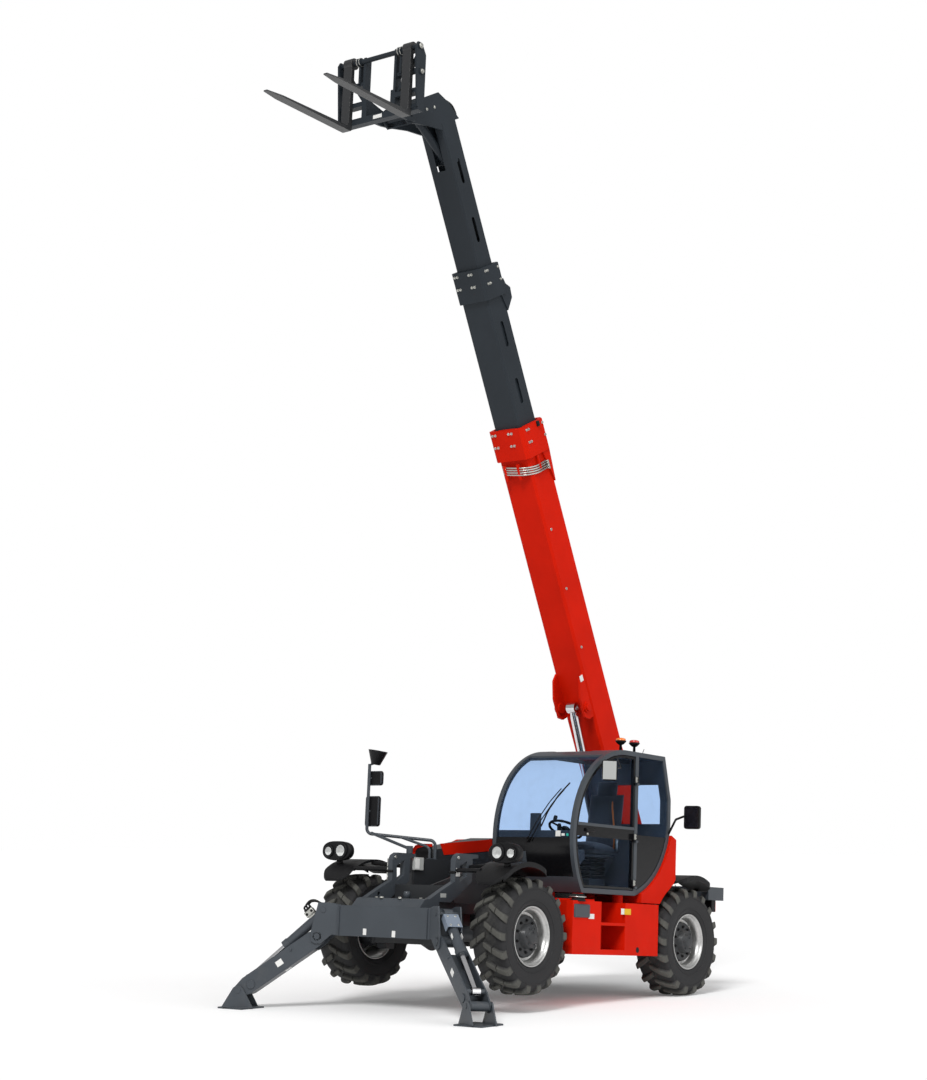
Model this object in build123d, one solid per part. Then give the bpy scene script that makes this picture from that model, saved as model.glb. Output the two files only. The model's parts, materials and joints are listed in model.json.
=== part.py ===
from build123d import *
from math import asin, atan2, cos, degrees, hypot, radians, sin
import os

# Telehandler with two front stabilisers, in millimetres: +X forward, +Y left, +Z up.
# Everything is modelled with the machine level on its four wheels. At the end it is
# tilted nose up onto its stabiliser feet and rear tyres, as it stands to work high.

# ---- wheels and axles
wheelbase = 2870
wheel_track = 2020            # between the middles of the tyres
tyre_radius = 578             # over the lugs
tyre_width = 400
lug_height = 38
lug_count = 18                # on each half of the tread
lug_width = 62
rim_radius = 305
rim_width = 330
rim_wall = 14
disc_setback = 95             # rim disc, inwards of the tyre's middle plane
hub_radius = 135
spindle_radius = 55
kingpin_inset = 250           # kingpin, inwards of the tyre's middle plane
kingpin_radius = 32
axle_tube_radius = 78
diff_radius = 185
axle_seat = 775               # underside of the frame's cross members over the axles
running_clearance = 0.08      # radial, at each pin and spindle
seat_gap = 0.3                # between faces that slide on each other
steer_limit = 32

# ---- chassis
chassis_half_width = 410
chassis_bottom = 450
chassis_deck = 860
chassis_rear = -2330
chassis_front = 1990
plate = 25                    # main plate thickness
boom_y = -170                 # the boom's middle plane, right of the machine's
channel_half_width = 235      # between the two boom walls
wall_reach = channel_half_width + plate
wall_top = 1330               # boom walls beside the lowered boom

# ---- boom
boom_angle = 62.44            # above the chassis, as it stands
boom_raise = 4.5              # further up to the stop
boom_drop = 67.4              # down to the stop
pivot_x, pivot_z = -2159, 1700
pivot_radius = 45
boom_wall = 8
pad_thickness = 14
section_outer = dict(start=-230, end=5055, low=-249, high=187, width=400, edge=26, crown=62)
section_middle = dict(start=1420, end=6854, low=-221, high=146, width=350, edge=20, crown=52)
section_inner = dict(start=3000, end=8457, low=-196, high=104, width=306, edge=16, crown=40)
extend_in = 1200              # each section, from its rest place to fully in
extend_out = 2600
collar_length = 355
collar_wall = 32
head_length = 323             # head box beyond the inner section
carriage_pivot_s, carriage_pivot_h = 8642, -700
carriage_pin_radius = 32
cheek = 20
tilt_up, tilt_down = 79, 25

# ---- lift and tilt cylinders
lift_base_x, lift_base_z = -1990, 900
lift_pin_s, lift_pin_h = 1790, -338
lift_barrel_radius, lift_rod_radius = 80, 48
lift_barrel_length, lift_rod_length = 1500, 1330
tilt_base_s, tilt_base_h = 8040, -85
tilt_lever = 240
tilt_lever_angle = 35         # above the boom's line
tilt_barrel_radius, tilt_rod_radius = 42, 22
tilt_barrel_length, tilt_rod_length = 560, 540

# ---- stabilisers
beam_front, beam_rear = 2340, 2005
beam_half_length = 665
beam_bottom, beam_top = 512, 815
tie_down = (1965, 410, 945)     # lashing hole in the left front arm
tie_down_radius = 22
tie_down_plate = 60
leg_splay = 29                # legs point this far forward of sideways
leg_pivot_x, leg_pivot_y, leg_pivot_z = 2329, 834, 497
leg_run, leg_drop = 784, 570  # pivot to foot pin, outwards and down
leg_up, leg_down = 106, 6
leg_width = 210
leg_wall = 14
leg_pin_radius = 30
leg_cylinder_in, leg_cylinder_up = 56, 262
leg_barrel_radius, leg_rod_radius = 50, 26
leg_barrel_length, leg_rod_length = 515, 520
leg_eye_along, leg_eye_above = 825, 56
foot_height = 175             # foot pin above the ground
foot_pin_radius = 26
foot_length, foot_width = 330, 330
sole_thickness = 16

# ---- cab
cab_left, cab_right = 1100, 60
cab_floor, cab_roof = 1037, 2560
cab_wall = 45
hoop_depth = 46
hoop_width = 50
post_x = -445                 # front face of the door post
post_width = 55
glass_low = 1590              # bottom of the windscreen
sill_z = 1195                 # bottom of the black panel under it
quarter_low = 1680            # bottom of the glass behind the door
door_gap = 8
door_rail = 24
door_band = (1616, 1756)      # the door's middle rail
glass_thickness = 6
boom_side_step = 1400         # the cab's right half stands above the boom walls

# ---- bodywork
box_outer = 1180
box_bottom, box_top = 415, 955
box_front, box_rear = 760, -835
step_front, step_rear = 250, -190
step_depth = 330
hood_outer = -1130
hood_inner = -440
hood_front, hood_back = 1045, -1950
lid_front, lid_back = 0, -1150
lid_open = 55
lid_inner = -456
hood_hinge_y, hood_hinge_z = -442, 1612
hood_hinges = (-950, -200)    # along the lid
skin = 30
fender_corner = 110
fender_thickness = 26
fender_inner, fender_outer = 800, 1195
bumper_rear, bumper_front = -2480, -2100
bumper_half = 1010
bumper_low, bumper_high = 1045, 1190

# ---- forks
fork_length = 1200
fork_width, fork_thickness = 110, 45
fork_spread = 405             # each fork from the boom's middle plane
carriage_half = 543
carriage_low, carriage_high = 8900, 9600     # lower bar to the forks' shaft
carriage_brace = 270          # cross bar below the shaft
carriage_shaft_x, carriage_shaft_z = 2790, carriage_high - 10
mirror_post = (1385, -1080)

half_base = wheelbase / 2
half_track = wheel_track / 2
pieces = {}


def block(x0, x1, y0, y1, z0, z1):
    middle = Pos((x0 + x1) / 2, (y0 + y1) / 2, (z0 + z1) / 2)
    return middle * Box(abs(x1 - x0), abs(y1 - y0), abs(z1 - z0))


def outline(points):
    return make_face(Polyline(*points, close=True))


def side_plate(face, y0, y1):
    """A face drawn in X and Z, made solid from y0 to y1."""
    return Pos(0, y0, 0) * extrude(Plane.XZ * face, amount=-(y1 - y0))


def cross_plate(face, x0, x1):
    """A face drawn in Y and Z, made solid from x0 to x1."""
    return Pos(x0, 0, 0) * extrude(Plane.YZ * face, amount=x1 - x0)


def bar(start, end, radius):
    start, end = Vector(*start), Vector(*end)
    along = end - start
    axis = Plane(origin=start, z_dir=along)
    return axis * Cylinder(radius, along.length, align=(Align.CENTER, Align.CENTER, Align.MIN))


def pin(x, z, radius, y0, y1):
    return bar((x, y0, z), (x, y1, z), radius)


def other_side(shape):
    return mirror(shape, about=Plane.XZ)


def pipe(points, radius, bend):
    """A round tube along straight runs with one bend radius."""
    path = FilletPolyline(*points, radius=bend)
    ring = Plane(origin=path @ 0, z_dir=path % 0) * Circle(radius)
    return sweep(ring, path=path)


# ---- wheels: tyre with staggered bar lugs, dished rim with its hub

def tyre():
    half = tyre_width / 2
    crown = tyre_radius - lug_height
    bead = rim_width / 2 - 4
    left = [(bead, rim_radius - 8), (half, (rim_radius + crown) / 2), (half - 22, crown - 26)]
    wall = ThreePointArc(*left)
    tread = Line(left[2], (half - 60, crown))
    over = Line((half - 60, crown), (-half + 60, crown))
    down = Line((-half + 60, crown), (-half + 22, crown - 26))
    back = ThreePointArc((-half + 22, crown - 26), (-half, (rim_radius + crown) / 2), (-bead, rim_radius - 8))
    under = Line((-bead, rim_radius - 8), left[0])
    section = make_face([wall, tread, over, down, back, under])
    ring = revolve(Plane.YZ * section, axis=Axis.Y)
    lean = 95                 # each lug's run round the tread, middle to shoulder
    lug = outline([
        (-lean / 2 - lug_width / 2, -8), (-lean / 2 + lug_width / 2, -8),
        (lean / 2 + lug_width / 2, half - 4), (lean / 2 - lug_width / 2, half - 4),
    ])
    low = crown - 70
    top = extrude(Pos(0, 0, low) * lug, amount=tyre_radius - 3 - low)
    slope = Pos(0, half, tyre_radius + 4) * Rot(32, 0, 0) * Box(400, 90, 60)
    top -= slope
    pitch = 360 / lug_count
    lugs = [Rot(0, pitch * n, 0) * top for n in range(lug_count)]
    lugs += [Rot(0, pitch * (n + 0.5), 0) * mirror(top, about=Plane.XZ) for n in range(lug_count)]
    return ring + lugs


def rim():
    """Open to +Y, with its disc set back and the drive hub standing in the dish."""
    half = rim_width / 2
    seat = rim_radius - 40
    disc = -disc_setback + 130
    profile = outline([
        (half, rim_radius - 8), (half, rim_radius - 26), (half - 26, seat - 10), (disc + 20, seat - 28),
        (disc + 20, hub_radius + 70), (disc + 45, hub_radius + 40), (disc + 45, spindle_radius + running_clearance),
        (disc, spindle_radius + running_clearance), (disc, hub_radius + 60), (disc, seat - 44),
        (-half + 26, seat - 26), (-half, rim_radius - 26), (-half, rim_radius - 8), (-half + 22, rim_radius - 8),
        (-half + 32, seat - 8), (half - 32, seat - 8), (half - 22, rim_radius - 8),
    ])
    ring = revolve(Plane.YZ * profile, axis=Axis.Y)
    cap = pin(0, 0, hub_radius - 20, disc + 45, disc + 125) + pin(0, 0, 70, disc + 125, disc + 150)
    nuts = [Rot(0, 36 * n, 0) * pin(0, hub_radius + 20, 13, disc + 45, disc + 68) for n in range(10)]
    return ring + cap + nuts


def knuckle():
    """Steered hub carrier of a left wheel, at the wheel's own centre."""
    king = -kingpin_inset
    face = -disc_setback + 130
    carrier = pin(0, 0, 125, king - 20, face - 40) + pin(0, 0, 160, king + 70, face - 60)
    spindle = pin(0, 0, spindle_radius, face - 60, face + 44)
    trunnion = bar((0, king, -190), (0, king, 190), kingpin_radius)
    arm = block(-190, -60, king - 30, king + 30, -40, 0) + Pos(-190, king, -20) * Cylinder(34, 40)
    return carrier + spindle + trunnion + arm


def axle(x):
    """Drive axle with its differential, yokes and steering cylinder."""
    king = half_track - kingpin_inset
    z = tyre_radius
    tube = pin(x, z, axle_tube_radius, -king + 110, king - 110)
    diff = Pos(x, -90, z) * Rot(90, 0, 0) * Cone(diff_radius, 110, 170, align=(Align.CENTER, Align.CENTER, Align.MIN))
    diff += Pos(x, -90, z) * Rot(-90, 0, 0) * Cone(diff_radius, 110, 170, align=(Align.CENTER, Align.CENTER, Align.MIN))
    nose = bar((x, -90, z), (x - copysign_x(x) * 290, -90, z), 85)
    body = tube + diff + nose
    for side in (-1, 1):
        inner = king - 115
        yoke = block(x - 62, x + 62, inner, inner + 34, z - 185, z + 185)
        for low in (139, -180):
            yoke += block(x - 52, x + 52, inner, king, z + low, z + low + 41)
            yoke += Pos(x, king, z + low + 20.5) * Cylinder(52, 41)
        yoke -= bar((x, king, z - 200), (x, king, z + 200), kingpin_radius + running_clearance)
        body += yoke if side > 0 else other_side(yoke)
    pads = [block(x - 60, x + 60, s * 300 - 45, s * 300 + 45, z + 60, axle_seat) for s in (-1, 1)]
    steer = pin(x - 190, z + 55, 46, -200, 200)
    hang = [block(x - 190, x - 40, s * 150 - 14, s * 150 + 14, z + 40, z + 70) for s in (-1, 1)]
    return body + pads + steer + hang - pin(x - 190, z + 55, 24 + seat_gap, -300, 300)


def copysign_x(x):
    return 1 if x > 0 else -1


def tie_rod(x):
    """Through rod of the steering cylinder with an eye over each knuckle arm."""
    z = tyre_radius + 55
    reach = half_track - kingpin_inset
    shaft = pin(x - 190, z, 24, -reach + 30, reach - 30)
    eyes = [Pos(x - 190, s * reach, z - 20) * Cylinder(32, 50) for s in (-1, 1)]
    return shaft + eyes


for name, x in (("front", half_base), ("rear", -half_base)):
    pieces[f"axle_{name}"] = axle(x)
    pieces[f"tie_rod_{name}"] = tie_rod(x)
    for side, sign in (("left", 1), ("right", -1)):
        place = Pos(x, sign * half_track, tyre_radius)
        for part, made in (("tyre", tyre()), ("rim", rim()), ("knuckle", knuckle())):
            pieces[f"{part}_{name}_{side}"] = place * (made if sign > 0 else other_side(made))


# ---- chassis: side plates, deck, the two boom walls and the rear towers

def wheel_sweep():
    """Room that a steered wheel needs, turned about its kingpin."""
    profile = [(0, 0)]
    for rise, reach in arch_room:
        profile.append((reach, rise))
    profile.append((0, arch_room[-1][0]))
    room = revolve(Plane.XZ * outline(profile), axis=Axis.Z)
    king = half_track - kingpin_inset
    upper = [Pos(x, y, tyre_radius) * room for x in (half_base, -half_base) for y in (king, -king)]
    return upper + [mirror(each, about=Plane.XY.offset(tyre_radius)) for each in upper]


# height over the axle and reach from the kingpin of a wheel at full lock
arch_room = (
    (0, 742), (200, 715), (300, 678), (388, 632), (450, 588), (500, 545), (550, 494), (592, 462),
)
sweep_room = wheel_sweep()


def chassis():
    rail = [(chassis_rear, chassis_deck), (chassis_rear, chassis_bottom)]
    for x in (-half_base, half_base):
        rail += [(x - 330, chassis_bottom), (x - 250, axle_seat), (x + 250, axle_seat), (x + 330, chassis_bottom)]
    rail += [(chassis_front + 15, chassis_bottom), (chassis_front + 15, chassis_deck)]
    side = side_plate(outline(rail), chassis_half_width - plate, chassis_half_width)
    body = side + other_side(side)
    inner = chassis_half_width - plate
    body += block(-1560, chassis_front + 15, -chassis_half_width, chassis_half_width, chassis_deck - 1, chassis_deck + 20)
    for x in (-half_base, half_base):
        body += block(x - 75, x + 75, -inner - 5, inner + 5, axle_seat, axle_seat + 45)
    for x in (chassis_rear, -560, 560, chassis_front - 15):
        body += block(x, x + plate, -inner - 5, inner + 5, chassis_bottom + 10, chassis_deck)
    tower = [
        (chassis_rear, chassis_bottom), (chassis_rear, 1560), (-2270, 1800), (-2210, 1850), (-2110, 1850),
        (-2050, 1800), (-1930, 1560), (-1700, wall_top),
    ]
    right = tower + [(1393, wall_top), (1393, chassis_deck), (-1700, chassis_deck), (-1740, chassis_bottom)]
    left = tower + [(700, wall_top), (1040, 1240), (1695, 1050), (1695, chassis_deck), (-1700, chassis_deck), (-1740, chassis_bottom)]
    gap = channel_half_width
    body += side_plate(outline(right), boom_y - gap - plate, boom_y - gap)
    body += side_plate(outline(left), boom_y + gap, boom_y + gap + plate)
    body += block(1695, 1715, 1 - 380, 380 - 1, chassis_deck, 1050)
    for y in (boom_y - gap - plate - 18, boom_y + gap + plate - 2):
        body += pin(pivot_x, pivot_z, 95, y, y + 20)
        body += pin(lift_base_x, lift_base_z, 70, y, y + 20)
    body += pin(pivot_x, pivot_z, pivot_radius, boom_y - gap - 5, boom_y + gap + 5)
    body += pin(lift_base_x, lift_base_z, 32, boom_y - gap - 5, boom_y + gap + 5)
    hook = block(chassis_rear - 130, chassis_rear, -60, 60, 560, 580) + block(chassis_rear - 130, chassis_rear, -60, 60, 660, 680)
    hook += block(chassis_rear - 20, chassis_rear + 5, -110, 110, 520, 720)
    hook -= bar((chassis_rear - 80, 0, 540), (chassis_rear - 80, 0, 700), 16)
    return body + hook


def bumper():
    face = outline([
        (bumper_rear, bumper_half - 60), (bumper_rear + 60, bumper_half), (bumper_front, bumper_half),
        (bumper_front, 445), (chassis_rear, 445), (chassis_rear, -445), (bumper_front, -445),
        (bumper_front, -bumper_half), (bumper_rear + 60, -bumper_half), (bumper_rear, -bumper_half + 60),
    ])
    return Pos(0, 0, bumper_low) * extrude(face, amount=bumper_high - bumper_low)


def tail_lamps():
    outer = bumper_half - 25
    lamp = block(bumper_rear + 190, bumper_rear + 270, outer - 220, outer, bumper_low - 130, bumper_low)
    lamp += block(bumper_rear + 178, bumper_rear + 190, outer - 210, outer - 10, bumper_low - 112, bumper_low - 22)
    return lamp + other_side(lamp)


pieces["chassis_frame"] = chassis()
pieces["rear_bumper"] = bumper()
pieces["tail_lamps"] = tail_lamps()


# ---- stabilisers

def leg_place(shape, side=1):
    """From a leg's own plane, X outwards from its pivot, to the machine."""
    return Pos(leg_pivot_x, side * leg_pivot_y, leg_pivot_z) * Rot(0, 0, side * (90 - leg_splay)) * shape


leg_length = hypot(leg_run, leg_drop)
leg_slope = degrees(atan2(leg_drop, leg_run))
leg_half = leg_width / 2


def beam():
    inner = 535
    face = outline([
        (beam_rear, inner), (beam_rear + 90, beam_half_length), (beam_front, beam_half_length),
        (beam_front, -beam_half_length), (beam_rear + 90, -beam_half_length), (beam_rear, -inner),
    ])
    body = Pos(0, 0, beam_bottom) * extrude(face, amount=beam_top - beam_bottom)
    ledge = outline([
        (beam_front - 30, beam_top - 1), (beam_front - 110, 893), (beam_front - 150, 902), (beam_rear, 902),
        (beam_rear, beam_top - 1),
    ])
    x, y, z = tie_down
    half = tie_down_plate / 2
    body += side_plate(ledge, -y - half, y + half)
    gusset = outline([
        (2180, 890), (1960, 1000), (1765, 1090), (1772, 1300), (1745, 1345), (1690, 1372), (1400, 1372),
        (1400, 1335), (1490, 1325), (1490, 1092), (1640, 995), (1820, chassis_deck + 20), (2100, chassis_deck + 20),
    ])
    pocket = outline([(1575, 1150), (1690, 1085), (1700, 1240), (1580, 1300)])
    arm = side_plate(gusset, y - half, y + half) - side_plate(pocket, y - half - 5, y + half + 5)
    arm -= pin(x, z, tie_down_radius, y - half - 5, y + half + 5)
    cheeks = outline([(-300, 22), (-300, 300), (-115, 338), (0, 338), (62, 60), (62, -50), (20, -72), (-40, -72), (-150, 22)])
    bracket = side_plate(cheeks, leg_half + 3, leg_half + 17) + side_plate(cheeks, -leg_half - 17, -leg_half - 3)
    bracket += block(-300, -142, -leg_half - 10, leg_half + 10, 25, 300)
    bracket += pin(0, 0, leg_pin_radius, -leg_half - 24, leg_half + 24)
    bracket += pin(-leg_cylinder_in, leg_cylinder_up, 25, -leg_half - 24, leg_half + 24)
    end = arm + leg_place(bracket)
    return body + end + other_side(end)


def leg():
    """U-channel from its pivot to the foot pin, open on its upper side."""
    side = outline([
        (-60, -60), (-20, -92), (80, -95), (880, -95), (leg_length + 30, -52), (leg_length + 52, 0),
        (leg_length + 30, 50), (870, 82), (60, 82), (-20, 70), (-62, 30),
    ])
    wall = side_plate(side, leg_half - leg_wall, leg_half)
    body = wall + other_side(wall)
    body += block(90, 880, -leg_half, leg_half, -95, -95 + leg_wall)
    body += pin(0, 0, 52, -leg_half, leg_half) + pin(leg_length, 0, 46, -leg_half, leg_half)
    for sign in (-1, 1):
        body += pin(leg_eye_along, leg_eye_above, 26, *sorted((sign * 52, sign * leg_half)))
    body -= pin(0, 0, leg_pin_radius + running_clearance, -leg_half - 9, leg_half + 9)
    body -= pin(leg_length, 0, foot_pin_radius + running_clearance, -leg_half - 9, leg_half + 9)
    return Rot(0, leg_slope, 0) * body


def cylinder_barrel(length, radius, rod_radius, eye_width, pin_radius):
    """Along +X from its eye; the rod slides in its open end."""
    body = Pos(radius * 0.8, 0, 0) * Rot(0, 90, 0) * Cylinder(radius, length, align=(Align.CENTER, Align.CENTER, Align.MIN))
    body += pin(0, 0, radius * 0.95, -eye_width / 2, eye_width / 2)
    body += Pos(length + radius * 0.8 - 60, 0, 0) * Rot(0, 90, 0) * Cylinder(radius + 7, 60, align=(Align.CENTER, Align.CENTER, Align.MIN))
    body -= Pos(radius, 0, 0) * Rot(0, 90, 0) * Cylinder(rod_radius + seat_gap, length + radius, align=(Align.CENTER, Align.CENTER, Align.MIN))
    return body - pin(0, 0, pin_radius + running_clearance, -eye_width, eye_width)


def cylinder_rod(length, rod_radius, eye_radius, eye_width):
    """Along -X from its eye."""
    body = Pos(-eye_radius * 0.7, 0, 0) * Rot(0, -90, 0) * Cylinder(rod_radius, length, align=(Align.CENTER, Align.CENTER, Align.MIN))
    return body + pin(0, 0, eye_radius, -eye_width / 2, eye_width / 2) - pin(0, 0, eye_radius * 0.5, -eye_width, eye_width)


def span(shape, base, eye, from_eye):
    """Lay a cylinder's barrel or rod along the line from base to eye."""
    rise = degrees(atan2(eye[1] - base[1], eye[0] - base[0]))
    x, z = eye if from_eye else base
    return Pos(x, 0, z) * Rot(0, -rise, 0) * shape


leg_foot_pin = (
    leg_pivot_x + leg_run * sin(radians(leg_splay)),
    leg_pivot_y + leg_run * cos(radians(leg_splay)),
    leg_pivot_z - leg_drop,
)
# nose-up angle that puts the rear tyres and the stabiliser soles on one plane
stance_run = leg_foot_pin[0] + half_base
stance_fall = leg_foot_pin[2] - tyre_radius
stance_slope = atan2(stance_fall, stance_run)
nose_up = degrees(asin((foot_height - tyre_radius) / hypot(stance_run, stance_fall)) - stance_slope)


def foot():
    cheek_face = outline([
        (-163, -foot_height + 8), (163, -foot_height + 8), (52, 26), (26, 48), (-26, 48), (-52, 26),
    ])
    inner = leg_half + 7
    body = side_plate(cheek_face, inner, inner + 16) + side_plate(cheek_face, -inner - 16, -inner)
    body += pin(0, 0, foot_pin_radius, -inner - 22, inner + 22)
    placed = leg_place(Pos(leg_run, 0, -leg_drop) * body)
    x, y, z = leg_foot_pin
    sole = Pos(x, y, z) * Rot(0, nose_up, 0) * block(
        -foot_length / 2, foot_length / 2, -foot_width / 2, foot_width / 2, -foot_height, -foot_height + sole_thickness)
    below = Pos(x, y, z) * Rot(0, nose_up, 0) * block(-400, 400, -400, 400, -foot_height - 100, -foot_height + 1)
    return (placed - below) + sole


leg_base = (-leg_cylinder_in, leg_cylinder_up)
leg_eye = (
    leg_eye_along * cos(radians(leg_slope)) + leg_eye_above * sin(radians(leg_slope)),
    -leg_eye_along * sin(radians(leg_slope)) + leg_eye_above * cos(radians(leg_slope)),
)
leg_barrel = cylinder_barrel(leg_barrel_length, leg_barrel_radius, leg_rod_radius, 90, 25)
leg_rod = cylinder_rod(leg_rod_length, leg_rod_radius, 38, 84)
leg_parts = {
    "leg": leg(),
    "leg_barrel": span(leg_barrel, leg_base, leg_eye, False),
    "leg_rod": span(leg_rod, leg_base, leg_eye, True),
}
pieces["stabiliser_beam"] = beam()
pieces["foot_left"] = foot()
pieces["foot_right"] = other_side(pieces["foot_left"])
for part, made in leg_parts.items():
    for side, sign in (("left", 1), ("right", -1)):
        pieces[f"{part}_{side}"] = leg_place(made, sign)


# ---- boom: three sections that slide in each other, with X along the boom from its
# pivot and Z towards its upper side

def boom_place(shape):
    return Pos(pivot_x, boom_y, pivot_z) * Rot(0, -boom_angle, 0) * shape


def boom_point(s, h):
    lean = radians(boom_angle)
    return (pivot_x + s * cos(lean) - h * sin(lean), pivot_z + s * sin(lean) + h * cos(lean))


def section_face(size, inset):
    half, low, high = size["width"] / 2 - inset, size["low"] + inset, size["high"] - inset
    edge, crown = size["edge"] - inset * 0.4, size["crown"] - inset * 0.4
    return outline([
        (-half + edge, low), (half - edge, low), (half, low + edge), (half, high - crown), (half - crown, high),
        (-half + crown, high), (-half, high - crown), (-half, low + edge),
    ])


def section(size, collar=0):
    """A box section; a collar of that wall strengthens its mouth."""
    start, end = size["start"], size["end"]
    tube = section_face(size, 0) - section_face(size, boom_wall)
    body = Pos(start, 0, 0) * extrude(Plane.YZ * tube, amount=end - start)
    if collar:
        ring = section_face(size, -collar) - section_face(size, 1)
        body += Pos(end - collar_length, 0, 0) * extrude(Plane.YZ * ring, amount=collar_length)
    return body


def pads(outer, inner, s0, s1, on_outer):
    """Wear pads between two sections, fixed to one and sliding on the other."""
    near, far = (seat_gap, 0) if on_outer else (0, seat_gap)
    half_in, half_out = inner["width"] / 2 + near, outer["width"] / 2 - boom_wall - far
    low_in, low_out = inner["low"] - near, outer["low"] + boom_wall + far
    high_in, high_out = inner["high"] + near, outer["high"] - boom_wall - far
    reach = inner["width"] / 2 - inner["crown"] - 12
    made = [block(s0, s1, -reach, reach, low_out, low_in), block(s0, s1, -reach, reach, high_in, high_out)]
    rise = (inner["low"] + inner["edge"] + 25, inner["high"] - inner["crown"] - 20)
    for sign in (-1, 1):
        made.append(block(s0, s1, sign * half_in, sign * half_out, *rise))
    return made


def slot(s0, s1, h, wide, half):
    """Long slot through both side walls."""
    body = block(s0 + wide / 2, s1 - wide / 2, -half - 5, half + 5, h - wide / 2, h + wide / 2)
    for s in (s0 + wide / 2, s1 - wide / 2):
        body += pin(s, h, wide / 2, -half - 5, half + 5)
    return body


def boom_outer():
    size = section_outer
    end, half = size["end"], size["width"] / 2
    body = section(size, collar_wall)
    body += pads(size, section_middle, end - 200, end, True)
    wing = outline([(4335, size["high"] - size["crown"]), (4700, size["high"] - 30), (4700, 20)])
    body += side_plate(wing, half - 1, half + 22) + side_plate(wing, -half - 22, -half + 1)
    cheek_face = outline([
        (1651, size["low"] + 2), (2174, size["low"] + 2), (2120, -330), (1930, -410), (1700, -410), (1651, -340),
    ])
    for sign in (-1, 1):
        y0, y1 = sorted((sign * 168, sign * 193))
        body += side_plate(cheek_face, y0, y1)
        body += pin(lift_pin_s, lift_pin_h, 58, *sorted((sign * 150, sign * 212)))
    body += pin(0, 0, 72, -channel_half_width + 5, channel_half_width - 5)
    body -= pin(0, 0, pivot_radius + running_clearance, -channel_half_width, channel_half_width)
    for s in (1969, 3405):
        eye = side_plate(outline([(s - 60, size["high"] - 2), (s + 60, size["high"] - 2), (s + 26, 245), (s - 26, 245)]), -half + 75, -half + 91)
        body += eye - pin(s, 218, 14, -half, 0)
    return body


def boom_middle():
    size = section_middle
    end, half = size["end"], size["width"] / 2
    body = section(size, collar_wall - 4)
    body += pads(section_outer, size, size["start"], size["start"] + 200, False)
    body += pads(size, section_inner, end - 200, end, True)
    wing = outline([(6313, 96), (6430, 222), (6545, 236), (6600, 170), (6665, 150), (6665, 0)])
    body += side_plate(wing, half - 1, half + 15) + side_plate(wing, -half - 15, -half + 1)
    body += pin(6495, 200, 18, -half - 15, half + 15)
    for s in (5291, 5941):
        body -= slot(s, s + 288, -62, 62, half)
    return body


def boom_inner():
    """Inner section with the head that drops to the carriage pivot."""
    size = section_inner
    end, half = size["end"], size["width"] / 2
    body = section(size)
    body += pads(section_middle, size, size["start"], size["start"] + 200, False)
    for s in (7123, 7776):
        body -= slot(s, s + 279, -65, 54, half)
    cheek_face = outline([
        (end - 4, size["high"] - 2), (end, 138), (8638, 38), (8780, -106), (8756, -640), (8732, -752), (8642, -795),
        (8552, -752), (8530, -640), (8470, -420), (8380, size["low"] + 2), (end - 4, size["low"] + 2),
    ])
    outer = half
    head = side_plate(cheek_face, outer - cheek, outer)
    head += other_side(head)
    head += block(end - 4, end + 12, -outer, outer, size["high"] - 20, 138)
    head += block(8620, 8640, -outer + 1, outer - 1, -120, 36)
    head += block(8538, 8552, -outer + 1, outer - 1, -745, -655)
    head += pin(carriage_pivot_s, carriage_pivot_h, 70, outer - 2, outer + 6)
    head += pin(carriage_pivot_s, carriage_pivot_h, 70, -outer - 6, -outer + 2)
    body += head
    body -= block(7960, end + 200, -55, 55, size["low"] - 5, size["low"] + boom_wall + 5)
    body += pin(tilt_base_s, tilt_base_h, 25, -half, half)
    return body - pin(carriage_pivot_s, carriage_pivot_h, carriage_pin_radius + running_clearance, -200, 200)


lift_base = (lift_base_x, lift_base_z)
lift_eye = boom_point(lift_pin_s, lift_pin_h)
lift_barrel = cylinder_barrel(lift_barrel_length, lift_barrel_radius, lift_rod_radius, 110, 32)
lift_rod = cylinder_rod(lift_rod_length, lift_rod_radius, 60, 110)
tilt_base = (tilt_base_s, tilt_base_h)
tilt_eye = (
    carriage_pivot_s + tilt_lever * cos(radians(tilt_lever_angle)),
    carriage_pivot_h + tilt_lever * sin(radians(tilt_lever_angle)),
)
tilt_barrel = cylinder_barrel(tilt_barrel_length, tilt_barrel_radius, tilt_rod_radius, 80, 25)
tilt_rod = cylinder_rod(tilt_rod_length, tilt_rod_radius, 36, 52)
pieces["boom_outer"] = boom_place(boom_outer())
pieces["boom_middle"] = boom_place(boom_middle())
pieces["boom_inner"] = boom_place(boom_inner())
pieces["lift_barrel"] = Pos(0, boom_y, 0) * span(lift_barrel, lift_base, lift_eye, False)
pieces["lift_rod"] = Pos(0, boom_y, 0) * span(lift_rod, lift_base, lift_eye, True)
pieces["tilt_barrel"] = boom_place(span(tilt_barrel, tilt_base, tilt_eye, False))
pieces["tilt_rod"] = boom_place(span(tilt_rod, tilt_base, tilt_eye, True))


# ---- fork carriage, level with the machine; Y from the boom's middle plane

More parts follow.
